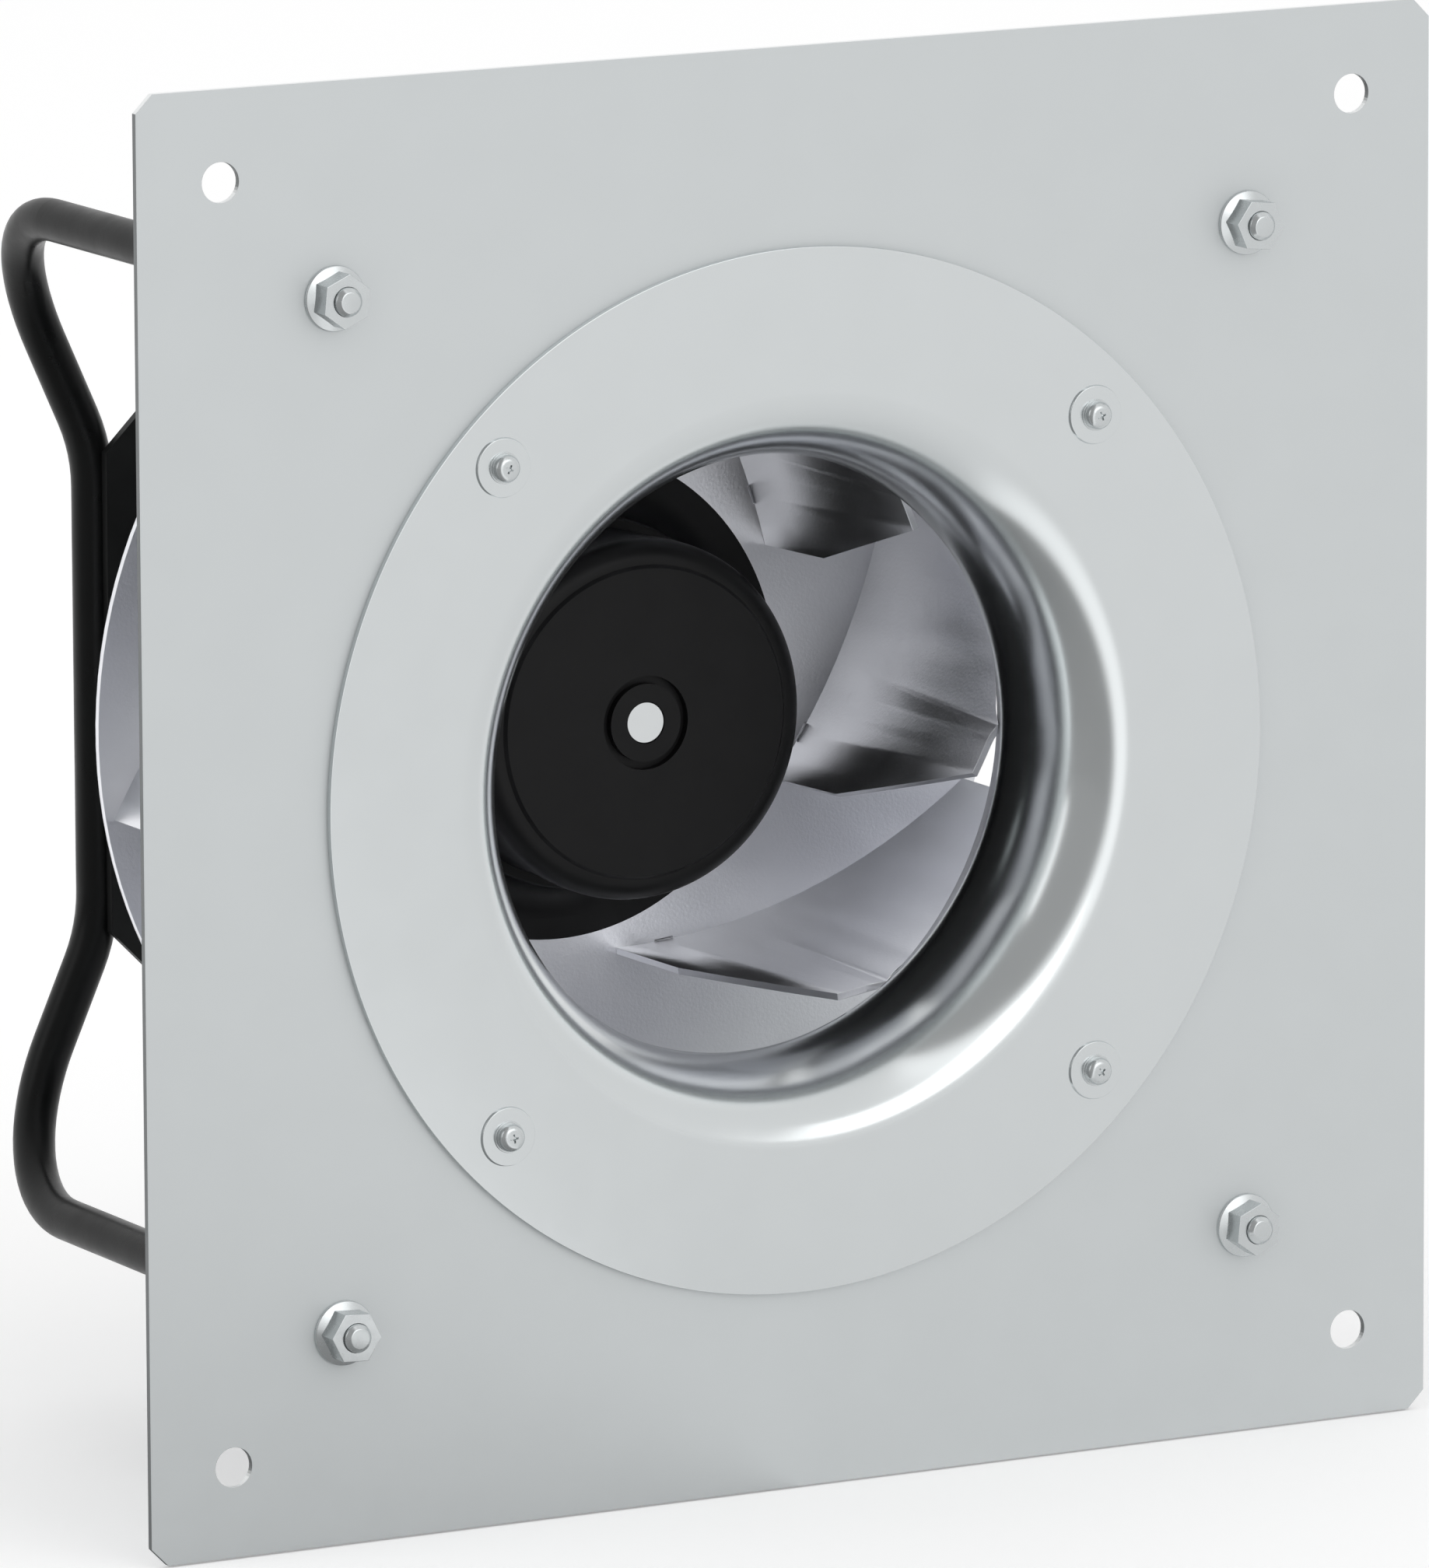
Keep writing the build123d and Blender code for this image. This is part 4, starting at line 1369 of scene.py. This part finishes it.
@dataclass
class BrokenEdges:
    """How far the edges of the imported nodes that are not replaced are broken, in mm."""

    widths: dict[str, float] = field(
        default_factory=lambda: {
            "mounting_plate": 0.12,
            "motor_plate": 0.35,
            "back_disc": 0.12,
            "blades": 0.15,
            "electronics_housing": 0.5,
        }
    )

    def build(self, dressing: Dressing) -> None:
        """Break the edges.

        Args:
            dressing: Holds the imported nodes.
        """
        for name, width in self.widths.items():
            dressing.break_edges(name, width)
            LOG.info("%s: edges broken by %.2f mm", name, width)


@dataclass
class Studio:
    """Pale floor, white surroundings, soft lamps and the camera.

    Args:
        floor_drop: How far the floor lies under the object's box, in metres.
        floor_size: Side of the floor, in metres.
        world_level: Strength of the surroundings as light on rough surfaces.
        camera_place: Where the camera stands, in metres.
        camera_aim: The point of the plate's front in the middle of the picture.
        camera_roll: Turn of the camera about its own axis, in degrees.
        camera_lens: Focal length for a 36 mm long side.
    """

    floor_drop: float = 0.0005
    floor_size: float = 14.0
    world_level: float = 0.85
    paper_lift: float = 0.21
    # room level by compass bearing: the surroundings' light in gloss, and painted shade and light on the floor paper
    # seen in gloss
    room: tuple[tuple[float, float], ...] = (
        (-125.0, 1.0),
        (-104.0, 0.4),
        (-25.0, 0.4),
        (-9.0, 1.2),
        (4.0, 1.2),
        (16.0, 0.84),
        (70.0, 0.84),
        (100.0, 1.0),
    )
    camera_place: Vector = field(default_factory=lambda: Vector((-1.936838, -3.520829, 0.728044)))
    camera_aim: Vector = field(default_factory=lambda: Vector((-0.026472, 0.0, -0.000954)))
    camera_roll: float = -0.264
    camera_lens: float = 342.99

    def surroundings(self) -> None:
        """Make the world white to the camera and to glass, as bright as the room level by compass direction to gloss,
        and softer as light.
        """
        world = bpy.data.worlds.new("white_surroundings")
        bpy.context.scene.world = world
        world.use_nodes = True
        tree = world.node_tree
        tree.nodes.clear()
        towards = put(tree, "ShaderNodeTexCoord").outputs["Generated"]
        path = put(tree, "ShaderNodeLightPath")
        glossy = put(
            tree,
            "ShaderNodeMapRange",
            {"To Min": self.world_level},
            {"Value": path.outputs["Is Glossy Ray"], "To Max": self.room_level(tree, towards)},
        )
        clear = put(
            tree,
            "ShaderNodeMath",
            {"operation": "MAXIMUM"},
            {0: path.outputs["Is Camera Ray"], 1: path.outputs["Is Transmission Ray"]},
        )
        level = put(
            tree,
            "ShaderNodeMapRange",
            {"To Max": 1.0},
            {"Value": clear.outputs[0], "To Min": glossy.outputs["Result"]},
        )
        light = put(
            tree,
            "ShaderNodeBackground",
            {"Color": (1.0, 1.0, 1.0, 1.0)},
            {"Strength": level.outputs["Result"]},
        )
        put(tree, "ShaderNodeOutputWorld", {}, {"Surface": light.outputs["Background"]})

    def room_level(self, tree: bpy.types.NodeTree, towards: bpy.types.NodeSocket) -> bpy.types.NodeSocket:
        """Draw how bright the room is in gloss, by compass direction from the fan.

        Args:
            tree: The world's or the floor's node tree.
            towards: The direction from the fan, of any length.

        Returns:
            The socket that carries the level, 1 for white.
        """
        parts = put(tree, "ShaderNodeSeparateXYZ", {}, {0: towards})
        ahead = put(tree, "ShaderNodeMath", {"operation": "MULTIPLY", 1: -1.0}, {0: parts.outputs["Y"]})
        bearing = put(
            tree,
            "ShaderNodeMath",
            {"operation": "ARCTAN2"},
            {0: parts.outputs["X"], 1: ahead.outputs[0]},
        )
        share = put(
            tree,
            "ShaderNodeMapRange",
            {"From Min": -math.pi, "From Max": math.pi},
            {"Value": bearing.outputs[0]},
        )
        ramp = put(tree, "ShaderNodeValToRGB", {}, {"Fac": share.outputs["Result"]})
        stops = ramp.color_ramp.elements
        while len(stops) < len(self.room):
            stops.new(0.5)
        for stop, (degrees, level) in zip(stops, self.room):
            stop.position = degrees / 360 + 0.5
            stop.color = (level, level, level, 1.0)
        return ramp.outputs["Color"]

    @staticmethod
    def seen_directly(tree: bpy.types.NodeTree) -> bpy.types.NodeSocket:
        """Tell camera, glossy and transmission rays from the rest.

        Args:
            tree: The world's or the floor's node tree.

        Returns:
            A socket that is 1 for those rays and 0 for the rest.
        """
        path = put(tree, "ShaderNodeLightPath")
        gloss = put(
            tree,
            "ShaderNodeMath",
            {"operation": "MAXIMUM"},
            {0: path.outputs["Is Camera Ray"], 1: path.outputs["Is Glossy Ray"]},
        )
        both = put(
            tree,
            "ShaderNodeMath",
            {"operation": "MAXIMUM"},
            {0: gloss.outputs[0], 1: path.outputs["Is Transmission Ray"]},
        )
        return both.outputs[0]

    def floor(self) -> None:
        """Lay the pale floor just under the object."""
        mesh = bmesh.new()
        bmesh.ops.create_grid(mesh, x_segments=1, y_segments=1, size=self.floor_size / 2)
        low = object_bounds()[0].z - self.floor_drop
        bmesh.ops.translate(mesh, verts=mesh.verts, vec=Vector((0, 0, low)))
        floor = finished("studio_floor", mesh)
        floor.data.materials.append(self.floor_paper())
        floor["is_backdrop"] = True

    def floor_paper(self) -> bpy.types.Material:
        """Make the floor's white paper, lifted to the white of the surroundings, with painted shade and light in gloss:
        seen in reflections it is darker towards the left and brighter straight ahead.

        Returns:
            The material.
        """
        material = bpy.data.materials.new("studio paper, matte white")
        material.use_nodes = True
        tree = material.node_tree
        tree.nodes.clear()
        place = put(tree, "ShaderNodeTexCoord").outputs["Object"]
        path = put(tree, "ShaderNodeLightPath")
        # painted shade: seen in gloss, the paper's colour follows the room level by compass direction, darker towards
        # the left
        level = put(
            tree,
            "ShaderNodeMapRange",
            {"To Min": 1.0},
            {"Value": path.outputs["Is Glossy Ray"], "To Max": self.room_level(tree, place)},
        )
        tone = put(
            tree,
            "ShaderNodeMix",
            {"data_type": "RGBA", 6: (0.0, 0.0, 0.0, 1.0), 7: linear("F4F4F4")},
            {0: level.outputs["Result"]},
        )
        paper = put(tree, "ShaderNodeBsdfDiffuse", {}, {"Color": tone.outputs[2]})
        direct = put(
            tree,
            "ShaderNodeMath",
            {"operation": "MULTIPLY", 1: self.paper_lift},
            {0: self.seen_directly(tree)},
        )
        # painted light: the lift seen in gloss follows the cube of the room level, brightest straight ahead
        contrast = put(tree, "ShaderNodeMath", {"operation": "POWER", 1: 3.0}, {0: level.outputs["Result"]})
        glow = put(
            tree,
            "ShaderNodeMath",
            {"operation": "MULTIPLY"},
            {0: direct.outputs[0], 1: contrast.outputs[0]},
        )
        lift = put(tree, "ShaderNodeEmission", {"Color": (1, 1, 1, 1)}, {"Strength": glow.outputs[0]})
        both = put(tree, "ShaderNodeAddShader", {}, {0: paper.outputs[0], 1: lift.outputs[0]})
        put(tree, "ShaderNodeOutputMaterial", {}, {"Surface": both.outputs[0]})
        return material

    def lamp(self, name: str, place: Vector, aim: Vector, size: tuple[float, float], power: float) -> None:
        """Hang one soft area lamp.

        Args:
            name: The lamp's name.
            place: Where it hangs, in metres.
            aim: The point it faces.
            size: Width and height in metres.
            power: Power in watts.
        """
        light = bpy.data.lights.new(name, "AREA")
        light.shape = "RECTANGLE"
        light.size, light.size_y = size
        light.energy = power
        lamp = bpy.data.objects.new(name, light)
        lamp.location = place
        lamp.rotation_mode = "QUATERNION"
        lamp.rotation_quaternion = (aim - place).to_track_quat("-Z", "Y")
        bpy.context.scene.collection.objects.link(lamp)

    def camera(self) -> None:
        """Stand the camera where the photograph was taken from."""
        data = bpy.data.cameras.new("view")
        data.sensor_width = 36.0
        data.lens = self.camera_lens
        data.clip_start, data.clip_end = 0.1, 60.0
        camera = bpy.data.objects.new("view", data)
        camera.location = self.camera_place
        level = (self.camera_aim - self.camera_place).to_track_quat("-Z", "Y").to_matrix().to_4x4()
        turned = level @ Matrix.Rotation(math.radians(self.camera_roll), 4, "Z")
        camera.rotation_mode = "QUATERNION"
        camera.rotation_quaternion = turned.to_quaternion()
        bpy.context.scene.collection.objects.link(camera)
        bpy.context.scene.camera = camera

    def build(self) -> None:
        """Set the whole studio."""
        self.surroundings()
        self.floor()
        centre = Vector((0, 0.1, 0))
        self.lamp("front_softbox", Vector((1.0, -5.2, 2.2)), centre, (3.9, 3.0), 33.0)
        self.lamp("left_softbox", Vector((-2.4, 0.2, 1.0)), centre, (1.2, 1.6), 6.0)
        self.camera()
        bpy.context.scene.view_settings.view_transform = "Standard"


def main() -> None:
    """Load the frame, dress it, build the pieces in order and set the studio."""
    logging.basicConfig(level=logging.INFO, format="%(message)s")
    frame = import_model()
    dressing = Dressing(frame, {slot: finish.make() for slot, finish in FINISHES.items()})
    dressing.nodes()
    for piece in (
        InletNozzle(),
        NozzleScrews(),
        FlangeNuts(),
        FrameStuds(),
        MotorBolts(),
        WeldSeams(),
        CableGland(),
        BrokenEdges(),
    ):
        piece.build(dressing)
    Studio().build()


if __name__ == "__main__":
    main()
